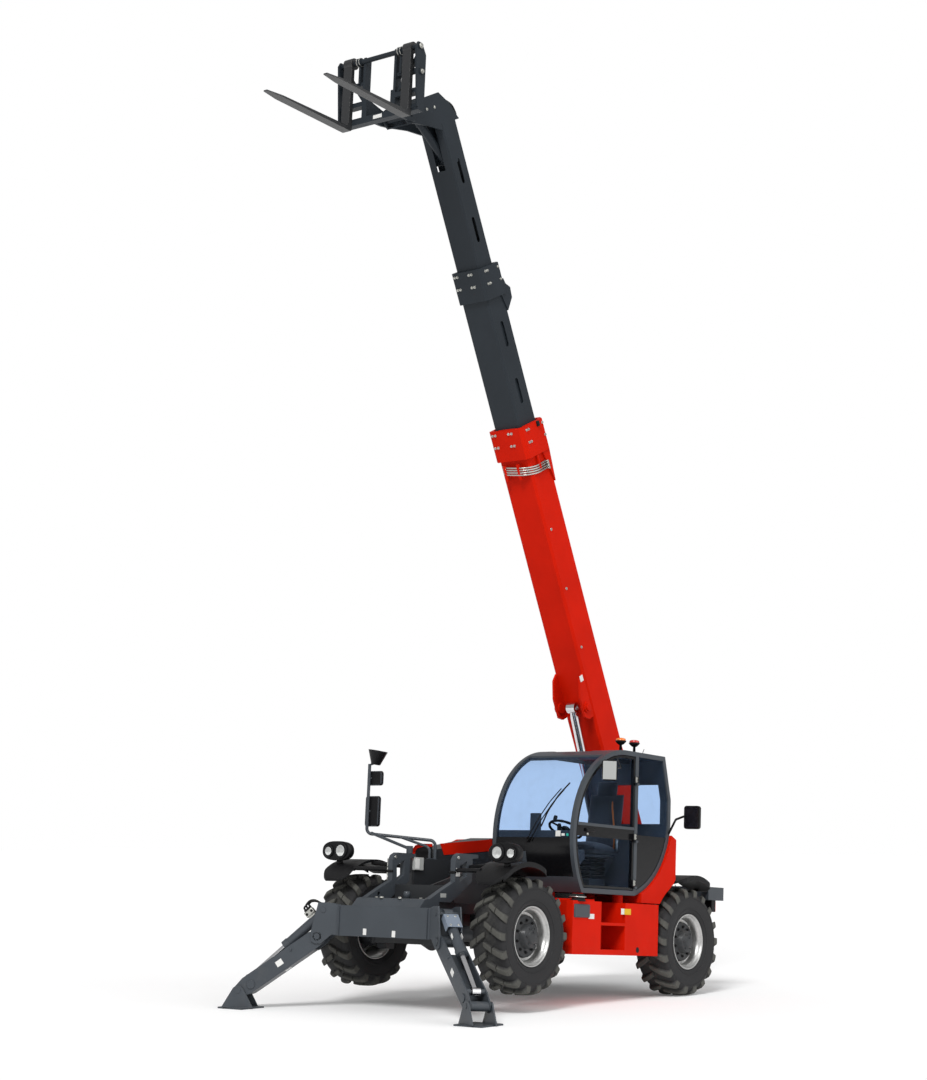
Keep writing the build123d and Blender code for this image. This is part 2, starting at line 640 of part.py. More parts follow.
def carriage():
    x, z = boom_point(carriage_pivot_s, carriage_pivot_h)
    bar_low = carriage_shaft_z - carriage_brace
    lug_in, lug_out = 164, 190
    lug_face = outline([(x - 60, z - 70), (x + 60, z - 90), (2712, z - 100), (2712, z + 120), (x + 50, z + 75), (x - 60, z + 50)])
    body = side_plate(lug_face, lug_in, lug_out) + side_plate(lug_face, -lug_out, -lug_in)
    body += pin(x, z, carriage_pin_radius, -lug_out - 12, lug_out + 12) + pin(x, z, 58, -126, 126)
    lean = radians(boom_angle)
    lever_x = x + tilt_lever * cos(radians(tilt_lever_angle) + lean)
    lever_z = z + tilt_lever * sin(radians(tilt_lever_angle) + lean)
    for sign in (-1, 1):
        y0, y1 = sorted((sign * 32, sign * 52))
        lever = side_plate(outline([(x + 52, z - 10), (x + 46, z + 40), (lever_x + 30, lever_z + 38), (lever_x - 44, lever_z + 20), (x - 52, z + 8)]), y0, y1)
        lever += pin(lever_x, lever_z, 42, y0, y1) - pin(lever_x, lever_z, 16, y0, y1)
        body += lever
        # uprights beside the head, and the braces that fan out to the shaft's ends
        y0, y1 = sorted((sign * 196, sign * 226))
        body += block(2700, 2790, *sorted((sign * 164, sign * 226)), carriage_low, z + 150)
        body += block(2700, 2790, y0, y1, z + 100, carriage_high + 30)
        brace = cross_plate(outline([(sign * 205, z + 120), (sign * 250, z + 120), (sign * 540, carriage_high - 40), (sign * 495, carriage_high - 40)]), 2725, 2765)
        body += brace
        y0, y1 = sorted((sign * (carriage_half - 22), sign * carriage_half))
        end_face = outline([(2690, carriage_low + 30), (2800, carriage_low + 30), (2848, carriage_high - 20), (2820, carriage_high + 30), (2760, carriage_high + 30), (2690, carriage_high - 80)])
        body += side_plate(end_face, y0, y1)
        body += pin(2760, bar_low, 34, *sorted((sign * carriage_half, sign * (carriage_half + 16))))
        body += block(2700, 2790, *sorted((sign * 200, sign * carriage_half)), z + 60, z + 110)
        body += block(2715, 2775, *sorted((sign * 215, sign * (carriage_half - 20))), bar_low + 10, bar_low + 50)
        y0, y1 = sorted((sign * 250, sign * 310))
        body += pin(carriage_shaft_x, carriage_shaft_z, 42, y0, y1)
        body += block(2700, 2790, y0 + 18, y1 - 18, bar_low + 30, carriage_shaft_z - 20)
    body += block(2700, 2790, -carriage_half, carriage_half, carriage_low, carriage_low + 70)
    body += pin(carriage_shaft_x, carriage_shaft_z, 27, -carriage_half - 14, carriage_half + 14)
    return Pos(0, boom_y, 0) * body



def forks():
    """Two pallet forks hung on the shaft, heels against the lower bar."""
    low = carriage_low - 60
    made = []
    for sign in (-1, 1):
        y = sign * fork_spread
        profile = outline([
            (2792, low + 12), (2806, low), (2860, low), (2860 + fork_length, low + 33), (2860 + fork_length, low + fork_thickness),
            (2876, low + fork_thickness), (2846, low + fork_thickness + 30), (2838, carriage_shaft_z - 30), (2792, carriage_shaft_z - 30),
        ])
        fork = side_plate(profile, y - fork_width / 2, y + fork_width / 2)
        hook = pin(carriage_shaft_x, carriage_shaft_z, 62, y - fork_width / 2, y + fork_width / 2)
        fork += hook
        fork -= pin(carriage_shaft_x, carriage_shaft_z, 27 + seat_gap, y - fork_width, y + fork_width)
        corner = Pos(0, y, low - 10) * extrude(outline([(3850, 56), (4070, 56), (4070, 22)]), amount=90)
        fork -= corner
        fork -= Pos(0, y, low - 10) * extrude(outline([(3850, -56), (4070, -56), (4070, -22)]), amount=90)
        made.append(fork)
    return Pos(0, boom_y, 0) * Compound(children=made)


pieces["carriage"] = carriage()
pieces["forks"] = forks()


def mirror_head(wide, high):
    head = Box(42, wide, high)
    return fillet(head.edges().filter_by(Axis.X), 30)


# ---- cab: a hooped shell with its openings cut, glazed in the middle of its walls

def cab_face(inset):
    shape = make_face([
        Line((-472, cab_floor), (500, cab_floor)),
        ThreePointArc((500, cab_floor), (675, 1560), (491, 2190)),
        ThreePointArc((491, 2190), (180, 2455), (-230, cab_roof)),
        Line((-230, cab_roof), (-1010, cab_roof - 6)),
        Line((-1010, cab_roof - 6), (-1142, 2094)),
        Line((-1142, 2094), (-1145, 1800)),
        ThreePointArc((-1145, 1800), (-960, 1360), (-472, cab_floor)),
    ])
    return offset(shape, amount=-inset, kind=Kind.INTERSECTION) if inset else shape


def cab_solid(inset):
    """The cab's outside, or the same shape that far inside it."""
    body = side_plate(cab_face(inset), cab_right + inset, cab_left - inset)
    return body - block(-2000, 2000, 0, 440 + inset, 0, boom_side_step + inset)


def cab_openings():
    """Glazed openings: windscreen, roof, back, right side and behind the door."""
    front = block(120, 900, cab_right + hoop_depth, cab_left - hoop_depth, glass_low, cab_roof)
    top = block(-820, -60, cab_right + 130, cab_left - 330, 2450, 2700)
    back = block(-1300, -1050, cab_right + 110, cab_left - 110, 1830, 2440)
    window = cab_face(hoop_width) - Rectangle(3000, 3000, align=(Align.CENTER, Align.MAX)).moved(Pos(0, 1500, 0))
    right = side_plate(window, 0, cab_right + 60)
    left = quarter_opening() - block(-2000, 0, 0, 2000, 0, quarter_low)
    return front, top, back, right, left


def quarter_opening():
    ahead = Rectangle(3000, 4000, align=(Align.MIN, Align.CENTER)).moved(Pos(post_x - post_width, 1800, 0))
    return side_plate(cab_face(hoop_width) - ahead, cab_left - 60, cab_left + 60)


def panel_openings():
    """Openings under the glass, closed by black panels."""
    inner = 440 + cab_wall + 1
    front = block(300, 900, inner, cab_left - hoop_depth, sill_z, glass_low)
    front += block(300, 900, cab_right + hoop_depth, inner, boom_side_step + cab_wall + 1, glass_low)
    return front, quarter_opening() & block(-2000, 0, 0, 2000, 0, quarter_low)


def door_opening():
    behind = Rectangle(3000, 4000, align=(Align.MAX, Align.CENTER)).moved(Pos(post_x, 1800, 0))
    return cab_face(hoop_width) - behind


cab_windows = cab_openings()
cab_blanks = panel_openings()
door_hole = door_opening()
door_levels = (1170, 1655, 2260)
hinge_x, hinge_y = post_x - 3, cab_left + 19


def cab_frame():
    body = cab_solid(0) - cab_solid(cab_wall) - cab_windows - cab_blanks
    body -= side_plate(door_hole, cab_left - 60, cab_left + 60)
    body += block(post_x - post_width, post_x, cab_left - cab_wall, cab_left, cab_floor + 30, cab_roof - 30)
    for z in door_levels:
        body += block(hinge_x - 34, hinge_x + 6, cab_left - 2, hinge_y + 8, z - 60, z - 36)
        body += bar((hinge_x, hinge_y, z - 60), (hinge_x, hinge_y, z + 34), 8)
    return body


def door():
    gap = offset(door_hole, amount=-door_gap, kind=Kind.INTERSECTION)
    pane = offset(door_hole, amount=-door_gap - door_rail, kind=Kind.INTERSECTION)
    y0, y1 = cab_left - 40, cab_left - 4
    low, high = door_band
    rail = Rectangle(2000, high - low).moved(Pos(0, (low + high) / 2, 0))
    frame = side_plate(gap, y0, y1) - side_plate(pane - rail, y0, y1)
    for z in door_levels:
        knuckle_block = block(hinge_x + 11, hinge_x + 60, y1 - 2, hinge_y + 8, z - 32, z + 30)
        knuckle_block += Pos(hinge_x, hinge_y, z - 1) * Cylinder(17, 62)
        frame += knuckle_block - bar((hinge_x, hinge_y, z - 70), (hinge_x, hinge_y, z + 60), 8 + running_clearance)
    handle = block(330, 450, y1 - 1, y1 + 24, 1670, 1692)
    glass = side_plate(pane - rail, (y0 + y1) / 2 - 3, (y0 + y1) / 2 + 3)
    mirror_arm = bar((-95, y1 - 10, 2474), (-80, 1150, 2362), 9) + bar((-80, 1150, 2362), (186, 1192, 2322), 9)
    mirror_face = Pos(200, 1200, 2311) * Rot(0, 0, 38) * mirror_head(165, 215)
    return frame + handle + mirror_arm + mirror_face, glass


def seat():
    cushion = block(-560, -90, 400, 840, 1450, 1560)
    back = Pos(-590, 610, 1800) * Rot(0, -8, 0) * block(-55, 55, -210, 210, -300, 300)
    head = Pos(-630, 610, 2170) * block(-45, 45, -130, 130, -90, 90)
    base = block(-440, -130, 500, 770, cab_floor + cab_wall, 1451)
    rest = block(-500, -200, 845, 900, 1640, 1690) + block(-470, -430, 839, 890, 1500, 1650)
    body = cushion + back + base + rest
    body += block(-650, -600, 580, 640, 2060, 2100) + head
    return body


def steering_wheel():
    hub = Pos(130, 610, 1700) * Rot(0, -28, 0)
    wheel = Torus(175, 14) + Cylinder(38, 40)
    for turn in (90, 210, 330):
        wheel += Rot(0, 0, turn) * Pos(90, 0, 0) * Box(170, 26, 12)
    column = bar((130, 610, 1700), (250, 610, 1476), 30)
    return hub * wheel + column


def dashboard():
    face = outline([(200, cab_floor + cab_wall), (440, cab_floor + cab_wall), (470, 1240), (500, 1470), (190, 1490), (170, 1400), (300, 1300)])
    return side_plate(face, 490, 900)


pane_shell = cab_solid(18) - cab_solid(18 + glass_thickness)
panel_shell = cab_solid(8) - cab_solid(36)
pieces["cab_frame"] = cab_frame()
pieces["cab_glass"] = Compound(children=[pane_shell & hole for hole in cab_windows])
pieces["cab_panels"] = Compound(children=[panel_shell & hole for hole in cab_blanks])
pieces["door_frame"], pieces["door_glass"] = door()
pieces["seat"] = seat()
pieces["dashboard"] = dashboard()
pieces["steering_wheel"] = steering_wheel() - pieces["dashboard"]


def roof_guard():
    """Bars under the roof window, lapping the roof at both ends."""
    room = cab_solid(cab_wall)
    return Compound(children=[block(-870, -15, y - 10, y + 10, 2462, cab_roof) & room for y in range(240, 740, 96)])


pieces["roof_guard"] = roof_guard()


# ---- bodywork

def body_left():
    """Side box with its steps, and the panel behind the cab."""
    inner = chassis_half_width
    plan = outline([
        (box_front, box_outer), (box_front, 1100), (690, 850), (680, 700), (686, inner), (-704, inner), (-692, 700),
        (-694, 850), (-730, 1000), (-774, 1100), (-822, box_outer),
    ])
    box = Pos(0, 0, box_bottom) * extrude(plan, amount=box_top - box_bottom)
    box -= block(step_rear, step_front, box_outer - step_depth, box_outer + 1, 745, box_top + 1)
    box -= block(step_rear, step_front, box_outer - step_depth + 40, box_outer + 1, 470, 715)
    box += block(339, 683, 900, 1150, box_top - 1, box_top + 18)
    for x, y in ((-330, 620), (-330, 980), (400, 620), (400, 980)):
        box += bar((x, y, box_top - 5), (x, y, cab_floor), 58)
    panel_face = outline([
        (-1223, 1665), (-1223, 1233), (-992, 966), (-560, 966), (-560, 1120), (-760, 1400), (-1100, 1720),
    ])
    panel = side_plate(panel_face, 470, 1130) - side_plate(cab_face(0), 400, 1200)
    body = box + (panel - block(-1400, 0, 400, 1100, 900, 955))
    body += block(-700, -570, 480, 1060, box_top - 1, 967)
    for room in sweep_room:
        body -= room
    return body


def engine_housing():
    """Open bay for the engine, the nose over the front axle and the tail."""
    inner = wall_reach - boom_y
    plan = outline([
        (700, hood_outer), (694, -850), (680, -700), (686, -inner), (-704, -inner), (-692, -700), (-694, -850),
        (-724, -980), (-774, -1080), (-790, hood_outer),
    ])
    tub = Pos(0, 0, 440) * extrude(plan, amount=740)
    wall = 24
    tub -= block(-660, 640, hood_outer + wall, -inner - wall, 470, 1300)
    nose_face = outline([
        (hood_front, 1190), (hood_front, 1400), (hood_front - 40, 1436), (lid_front + 8, 1608), (lid_front + 8, 1170),
        (664, 1170),
    ])
    nose = side_plate(nose_face, -750, -inner) - side_plate(offset(nose_face, amount=-wall), -750 + wall, -inner - wall)
    side = outline([(lid_front + 8, 1179), (680, 1179), (620, 1420), (lid_front + 8, 1500)])
    shoulder = side_plate(side, hood_outer, -749) - side_plate(offset(side, amount=-wall), hood_outer + wall, -740)
    deck = block(lid_back, -600, hood_outer, -inner, 1180, 1204) - block(-660, 640, hood_outer + wall, -inner - wall, 470, 1300)
    tail_face = outline([(lid_back - 8, 1200), (lid_back - 8, 1575), (-1500, 1560), (hood_back, 1440), (hood_back, 1230), (-1800, 1200)])
    tail = side_plate(tail_face, -790, -inner) - side_plate(offset(tail_face, amount=-wall), -790 + wall, -inner - wall)
    for n in range(9):
        tail -= block(-1850 + n * 46, -1830 + n * 46, -800, -780 + wall, 1330, 1500)
    hinge = block(lid_back + 60, lid_front - 60, -inner - 14, -inner, 1170, 1590)
    for x in hood_hinges:
        hinge += block(x - 50, x - 32, hood_hinge_y - 10, -inner, 1570, hood_hinge_z + 10)
        hinge += bar((x - 34, hood_hinge_y, hood_hinge_z), (x + 28, hood_hinge_y, hood_hinge_z), 6)
    body = tub + nose + shoulder + deck + tail + hinge
    body += block(lid_back - 60, lid_back + 30, -inner - 350, -inner, 1180, 1204)
    for room in sweep_room:
        body -= room
    return body


def engine_hood():
    """Lid over the engine, hinged along its inner top edge."""
    low = 1212
    face = outline([
        (hood_outer, low), (hood_outer, 1440), (-1070, 1550), (-960, 1592), (lid_inner, 1604), (lid_inner, low),
    ])
    inside = offset(face, amount=-skin)
    shell = cross_plate(face, lid_back, lid_front) - cross_plate(inside, lid_back + skin, lid_front - skin)
    shell -= block(lid_back - 5, lid_front + 5, hood_outer + skin, -400, low - 5, low + skin + 2)
    shell -= block(lid_back - 5, lid_front + 5, lid_inner - skin - 2, -440, low - 5, 1560)
    for x in hood_hinges:
        leaf = block(x - 28, x + 28, lid_inner - 30, hood_hinge_y, 1600, hood_hinge_z)
        leaf += bar((x - 28, hood_hinge_y, hood_hinge_z), (x + 28, hood_hinge_y, hood_hinge_z), 12)
        shell += leaf - bar((x - 40, hood_hinge_y, hood_hinge_z), (x + 40, hood_hinge_y, hood_hinge_z), 6 + running_clearance)
    for n in range(12):
        shell -= block(-1040 + n * 48, -1018 + n * 48, hood_outer - 5, hood_outer + skin + 5, 1280, 1420)
    return shell


def fender(back_to_front):
    """Curved guard over a left wheel, from three points of its top line."""
    first, crown, last = back_to_front
    top = ThreePointArc(first, crown, last)
    low = [(x, z - fender_thickness) for x, z in back_to_front]
    bottom = ThreePointArc(low[2], low[1], low[0])
    band = make_face([top, Line(last, low[2]), bottom, Line(low[0], first)])
    lip = [(x, z - 2 * fender_thickness) for x, z in back_to_front]
    skirt = make_face([top, Line(last, lip[2]), ThreePointArc(lip[2], lip[1], lip[0]), Line(lip[0], first)])
    guard = side_plate(band, fender_inner, fender_outer) + side_plate(skirt, fender_outer - 24, fender_outer)
    for x, inward in ((first[0], 1), (last[0], -1)):
        for y, sideways in ((fender_inner, 1), (fender_outer, -1)):
            rounding = ThreePointArc(
                (x + inward * fender_corner, y),
                (x + inward * 0.37 * fender_corner, y + sideways * 0.37 * fender_corner),
                (x, y + sideways * fender_corner),
            )
            back, aside = x - inward * 20, y - sideways * 20
            rest = Polyline(
                (x, y + sideways * fender_corner), (back, y + sideways * fender_corner), (back, aside),
                (x + inward * fender_corner, aside), (x + inward * fender_corner, y),
            )
            guard -= Pos(0, 0, 900) * extrude(make_face([rounding, rest]), amount=600)
    return guard


def fenders_front():
    guard = fender([(1160, 1180), (1538, 1304), (1990, 1085)])
    guard += bar((1532, 439, 1240), (1560, 830, 1268), 22)
    guard += bar((1735, 439, 1200), (1850, 830, 1200), 22)
    guard -= pieces["stabiliser_beam"]
    for room in sweep_room:
        guard -= room
    return Compound(children=[guard, other_side(guard)])


def fenders_rear():
    guard = fender([(-1930, 1160), (-1560, 1296), (-1240, 1213)])
    guard += block(bumper_front, -1900, 940, 1000, 1132, 1158)
    for room in sweep_room:
        guard -= room
    return Compound(children=[guard, other_side(guard)])


def headlamps():
    """Two-lens pods on arms from the frame's front arms."""
    pod = Pos(1780, 1096, 1376) * Rot(0, 90, 0) * extrude(SlotOverall(392, 204, rotation=90), amount=62, both=True)
    pod += Pos(1846, 1024, 1378) * Rot(0, 90, 0) * Cylinder(86, 24)
    pod += Pos(1846, 1190, 1372) * Rot(0, 90, 0) * Cylinder(66, 24)
    pod += bar((1770, 960, 1360), (1720, 700, 1330), 18) + bar((1720, 700, 1330), (1700, 439, 1310), 18)
    pod -= pieces["stabiliser_beam"]
    return Compound(children=[pod, other_side(pod)])


def mirror_mast():
    """Bent tube post over the off side wheel with two mirrors and a bowl."""
    x, y = mirror_post
    wall_y = boom_y - channel_half_width - plate / 2
    body = pipe([(1040, wall_y, wall_top), (1040, wall_y, 1525), (x, y, 1580), (x, y, 2315)], 17, 60)
    body += pipe([(1130, wall_y, wall_top), (1130, wall_y, 1450), (1212, -750, 1552)], 14, 60)
    body += block(1010, 1160, wall_y - 12, wall_y + 12, wall_top, wall_top + 10)
    body += bar((1470, -tie_down[1], 1420), (x - 10, y + 60, 1585), 16)
    body += Pos(1470, -tie_down[1], 1411) * Cylinder(34, 78)
    for z, aside, wide, high in ((2165, 54, 190, 150), (1816, 38, 178, 318)):
        body += Pos(x - 42, y + aside, z) * mirror_head(wide, high)
        body += bar((x, y, z), (x - 42, y + 20, z), 12)
    bowl = Pos(x - 30, y + 70, 2380) * Rot(-10, 0, 0) * Cone(46, 100, 140)
    return body + bowl + bar((x, y, 2305), (x - 30, y + 66, 2330), 11)


def mirror_left():
    stalk = pipe([(-1110, cab_left, 1722), (-1110, 1190, 1880), (-1110, 1300, 1915), (-1110, 1390, 1915)], 12, 30)
    return (stalk - cab_solid(0)) + Pos(-1110, 1402, 1902) * Rot(0, 0, 8) * mirror_head(182, 250)


def beacons():
    """Two low domes on dark feet; each row: foot, cup, rim, lens and its top."""
    rows = (
        # radius below, radius above, low, high
        (14, 14, cab_roof - 20, 2652),
        (30, 56, 2650, 2682),
        (60, 60, 2680, 2692),
        (54, 54, 2690, 2712),
        (54, 38, 2710, 2724),
    )
    lamps = []
    for x in (-526, -790):
        lamp = None
        for below, above, low, high in rows:
            round_part = Cylinder(below, high - low) if below == above else Cone(below, above, high - low)
            placed = Pos(x, 840, (low + high) / 2) * round_part
            lamp = placed if lamp is None else lamp + placed
        lamps.append(lamp - cab_solid(0))
    return Compound(children=lamps)


pieces["body_left"] = body_left()
pieces["engine_housing"] = engine_housing()
pieces["engine_hood"] = engine_hood()
pieces["engine_block"] = block(-560, 560, -1000, -520, 470, 1150)
pieces["fenders_front"] = fenders_front()
pieces["fenders_rear"] = fenders_rear()
pieces["headlamps"] = headlamps()
pieces["mirror_mast"] = mirror_mast() - pieces["engine_housing"]
pieces["mirror_left"] = mirror_left()
pieces["beacons"] = beacons()


# ---- nose up onto the feet, centred over the origin, and out to the files

def centred(placed):
    """How far the whole part moves so that it stands centred on the ground."""
    boxes = [shape.bounding_box() for shape in placed]
    x = (min(b.min.X for b in boxes) + max(b.max.X for b in boxes)) / 2
    y = (min(b.min.Y for b in boxes) + max(b.max.Y for b in boxes)) / 2
    return x, y


def on_ground():
    """The rear axle's height when the whole part has been turned nose up."""
    lean = radians(nose_up)
    return -half_base * sin(lean) + tyre_radius * cos(lean)


lifted = {name: Rot(0, -nose_up, 0) * shape for name, shape in pieces.items()}
stand_x, stand_y = centred(lifted.values())
stance = Pos(-stand_x, -stand_y, tyre_radius - on_ground()) * Rot(0, -nose_up, 0)
os.makedirs("parts", exist_ok=True)
for name, shape in pieces.items():
    export_step(stance * shape, f"parts/{name}.step")
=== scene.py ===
import json
import math

import bmesh
import bpy
from mathutils import Matrix, Vector


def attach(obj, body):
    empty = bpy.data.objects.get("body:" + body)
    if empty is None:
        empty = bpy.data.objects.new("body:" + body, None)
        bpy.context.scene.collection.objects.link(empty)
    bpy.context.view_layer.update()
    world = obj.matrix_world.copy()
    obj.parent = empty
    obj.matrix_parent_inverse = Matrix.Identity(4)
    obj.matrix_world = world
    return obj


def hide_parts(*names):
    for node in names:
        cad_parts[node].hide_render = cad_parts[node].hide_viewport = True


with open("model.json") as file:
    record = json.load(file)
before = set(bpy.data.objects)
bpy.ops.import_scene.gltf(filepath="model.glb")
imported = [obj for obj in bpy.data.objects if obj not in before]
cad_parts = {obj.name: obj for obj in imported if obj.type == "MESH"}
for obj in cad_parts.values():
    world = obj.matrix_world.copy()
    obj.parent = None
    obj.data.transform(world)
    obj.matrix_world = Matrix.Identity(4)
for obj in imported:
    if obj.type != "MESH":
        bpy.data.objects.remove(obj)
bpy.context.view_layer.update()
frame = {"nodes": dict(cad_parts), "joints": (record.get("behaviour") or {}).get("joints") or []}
nodes = frame["nodes"]
print("frame loaded:", len(nodes), "nodes")


def moved(*place):
    return Matrix.Translation(place)


def turned(degrees, axis, size=4):
    return Matrix.Rotation(math.radians(degrees), size, axis)


def outward(x, y, z, side):
    # a place on either side of the middle plane, its Y pointing away from it
    return moved(x, side * y, z) @ Matrix.Diagonal((1, side, 1, 1))


# the machine's own millimetres, level on its wheels, are taken to the frame by its hubs
machineSizes = dict(
    halfBase=1435, halfTrack=1010, wheelRadius=578, pivotX=-2159, pivotZ=1700, boomY=-170, boomAngle=62.44,
    legPivot=(2329, 834, 497), legSplay=29, legSlope=36.019, legBarrelAt=(-56, 0, 262), legBarrelSlope=42.9,
)

jointPlaces = {joint["name"]: Vector(joint["pos_m"]) for joint in frame["joints"] if "pos_m" in joint}
frontHub, rearHub = jointPlaces["roll_front_left"], jointPlaces["roll_rear_left"]
noseUp = math.atan2(frontHub.z - rearHub.z, frontHub.x - rearHub.x)
levelTurn = Matrix.Rotation(-noseUp, 4, "Y")
rearPlace = Vector((-machineSizes["halfBase"], machineSizes["halfTrack"], machineSizes["wheelRadius"])) / 1000
machineLine = Matrix.Translation(rearHub - levelTurn @ rearPlace) @ levelTurn @ Matrix.Scale(0.001, 4)
boomLine = (
    machineLine
    @ moved(machineSizes["pivotX"], machineSizes["boomY"], machineSizes["pivotZ"])
    @ turned(-machineSizes["boomAngle"], "Y")
)
carriageLine = machineLine @ moved(0, machineSizes["boomY"], 0)


def legLine(side):
    x, y, z = machineSizes["legPivot"]
    return machineLine @ moved(x, side * y, z) @ turned(side * (90 - machineSizes["legSplay"]), "Z")


def legDownLine(side):
    return legLine(side) @ turned(machineSizes["legSlope"], "Y")


def legBarrelLine(side):
    # from a leg cylinder's base pin towards its rod's eye
    return legLine(side) @ moved(*machineSizes["legBarrelAt"]) @ turned(machineSizes["legBarrelSlope"], "Y")


def wheelLine(end, side):
    x = machineSizes["halfBase"] * (1 if end == "front" else -1)
    return machineLine @ outward(x, machineSizes["halfTrack"], machineSizes["wheelRadius"], side)


def turnsOf(count, first=0):
    return [2 * math.pi * (n + first) / count for n in range(count)]


def around(radius, turn, along):
    # a point of a circle about Y
    return Vector((radius * math.sin(turn), along, radius * math.cos(turn)))


def lineBetween(start, end):
    # a place at the start whose Y points to the end
    start, end = Vector(start), Vector(end)
    return Matrix.Translation(start) @ (end - start).to_track_quat("Y", "Z").to_matrix().to_4x4()


cameraSettings = dict(
    place=(18.43545, 14.07831, 1.88421), azimuth=-141.84183, elevation=7.35889, roll=0.07479,
    focal=72.3845, sensor=36, reach=500,
)
lightSettings = dict(
    worldLevel=0.42, floorLift=0.10, floorHalf=90,
    keyLevel=2.1, keyTurn=(50, 0, 112), keySoftness=18,
    fillLevel=1.0, fillTurn=(62, 0, 186), fillSoftness=60,
)


def makeCamera(settings):
    camera = bpy.data.objects.new("camera", bpy.data.cameras.new("camera"))
    bpy.context.scene.collection.objects.link(camera)
    azimuth, elevation = math.radians(settings["azimuth"]), math.radians(settings["elevation"])
    level = math.cos(elevation)
    ahead = Vector((level * math.cos(azimuth), level * math.sin(azimuth), math.sin(elevation)))
    turn = ahead.to_track_quat("-Z", "Y").to_matrix().to_4x4()
    camera.matrix_world = moved(*settings["place"]) @ turn @ turned(settings["roll"], "Z")
    camera.data.lens = settings["focal"]
    camera.data.sensor_width = settings["sensor"]
    camera.data.clip_end = settings["reach"]
    bpy.context.scene.camera = camera


def makeLights(settings):
    for name in ("key", "fill"):
        lamp = bpy.data.objects.new(f"{name}Light", bpy.data.lights.new(f"{name}Light", "SUN"))
        bpy.context.scene.collection.objects.link(lamp)
        lamp.data.energy = settings[f"{name}Level"]
        lamp.data.angle = math.radians(settings[f"{name}Softness"])
        lamp.rotation_euler = [math.radians(each) for each in settings[f"{name}Turn"]]


bpy.context.scene.view_settings.view_transform = "Standard"
makeCamera(cameraSettings)
makeLights(lightSettings)


class Wire:
    # a socket that can take part in sums
    def __init__(self, finish, socket):
        self.finish = finish
        self.socket = socket

    def sum(self, operation, first, second):
        return self.finish.node("ShaderNodeMath", {"operation": operation}, {0: first, 1: second})


for name, operation in dict(
    add="ADD", sub="SUBTRACT", mul="MULTIPLY", truediv="DIVIDE", pow="POWER",
).items():
    setattr(Wire, f"__{name}__", lambda self, other, kind=operation: self.sum(kind, self, other))
    setattr(Wire, f"__r{name}__", lambda self, other, kind=operation: self.sum(kind, other, self))


class Finish:
    # one material, or the world, and the nodes that make it
    def __init__(self, name, library=bpy.data.materials):
        self.material = library.new(name)
        self.material.use_nodes = True
        self.tree = self.material.node_tree
        self.tree.nodes.clear()

    def node(self, kind, settings=None, inputs=None, output=0):
        made = self.tree.nodes.new(kind)
        for key, value in (settings or {}).items():
            setattr(made, key, value)
        for key, value in (inputs or {}).items():
            if isinstance(value, Wire):
                self.tree.links.new(value.socket, made.inputs[key])
            else:
                made.inputs[key].default_value = value
        return Wire(self, made.outputs[output]) if len(made.outputs) else None

    def place(self, kind="Object"):
        # where a point of the surface is, or its normal, in the piece's own axes
        return self.node("ShaderNodeTexCoord", output=kind)

    def noise(self, scale, detail, rough=0.55):
        inputs = {"Vector": self.place(), "Scale": scale, "Detail": detail, "Roughness": rough}
        return self.node("ShaderNodeTexNoise", None, inputs)

    def between(self, value, low, high):
        smooth = {"interpolation_type": "SMOOTHSTEP"}
        return self.node("ShaderNodeMapRange", smooth, {0: value, 1: low, 2: high})

    def axis(self, vector, which):
        return self.node("ShaderNodeSeparateXYZ", None, {0: vector}, which)

    def blend(self, share, first, second):
        first, second = [(*each, 1) if isinstance(each, tuple) else each for each in (first, second)]
        return self.node("ShaderNodeMix", {"data_type": "RGBA"}, {0: share, 6: first, 7: second}, 2)

    def edges(self, width):
        # how worn an edge is, and the normal that rounds it
        rounded = self.node("ShaderNodeBevel", {"samples": 4}, {"Radius": width})
        flat = self.node("ShaderNodeNewGeometry", output="Normal")
        same = self.node("ShaderNodeVectorMath", {"operation": "DOT_PRODUCT"}, {0: rounded, 1: flat}, 1)
        return self.between(1 - same, 0.02, 0.25), rounded

    def clouds(self, scale, detail, rough, low, high):
        return self.between(self.noise(scale, detail, rough), low, high)

    def bump(self, height, strength, distance, normal=None):
        inputs = {"Strength": strength, "Distance": distance, "Height": height}
        if normal is not None:
            inputs["Normal"] = normal
        return self.node("ShaderNodeBump", None, inputs)

    def surface(self, inputs):
        inputs = {key: (*value, 1) if isinstance(value, tuple) else value for key, value in inputs.items()}
        return self.node("ShaderNodeBsdfPrincipled", None, inputs)

    def done(self, shader):
        self.node("ShaderNodeOutputMaterial", None, {0: shader})
        return self.material


def scaled(colour, share, lift=0.0):
    return tuple(each * share + lift for each in colour)


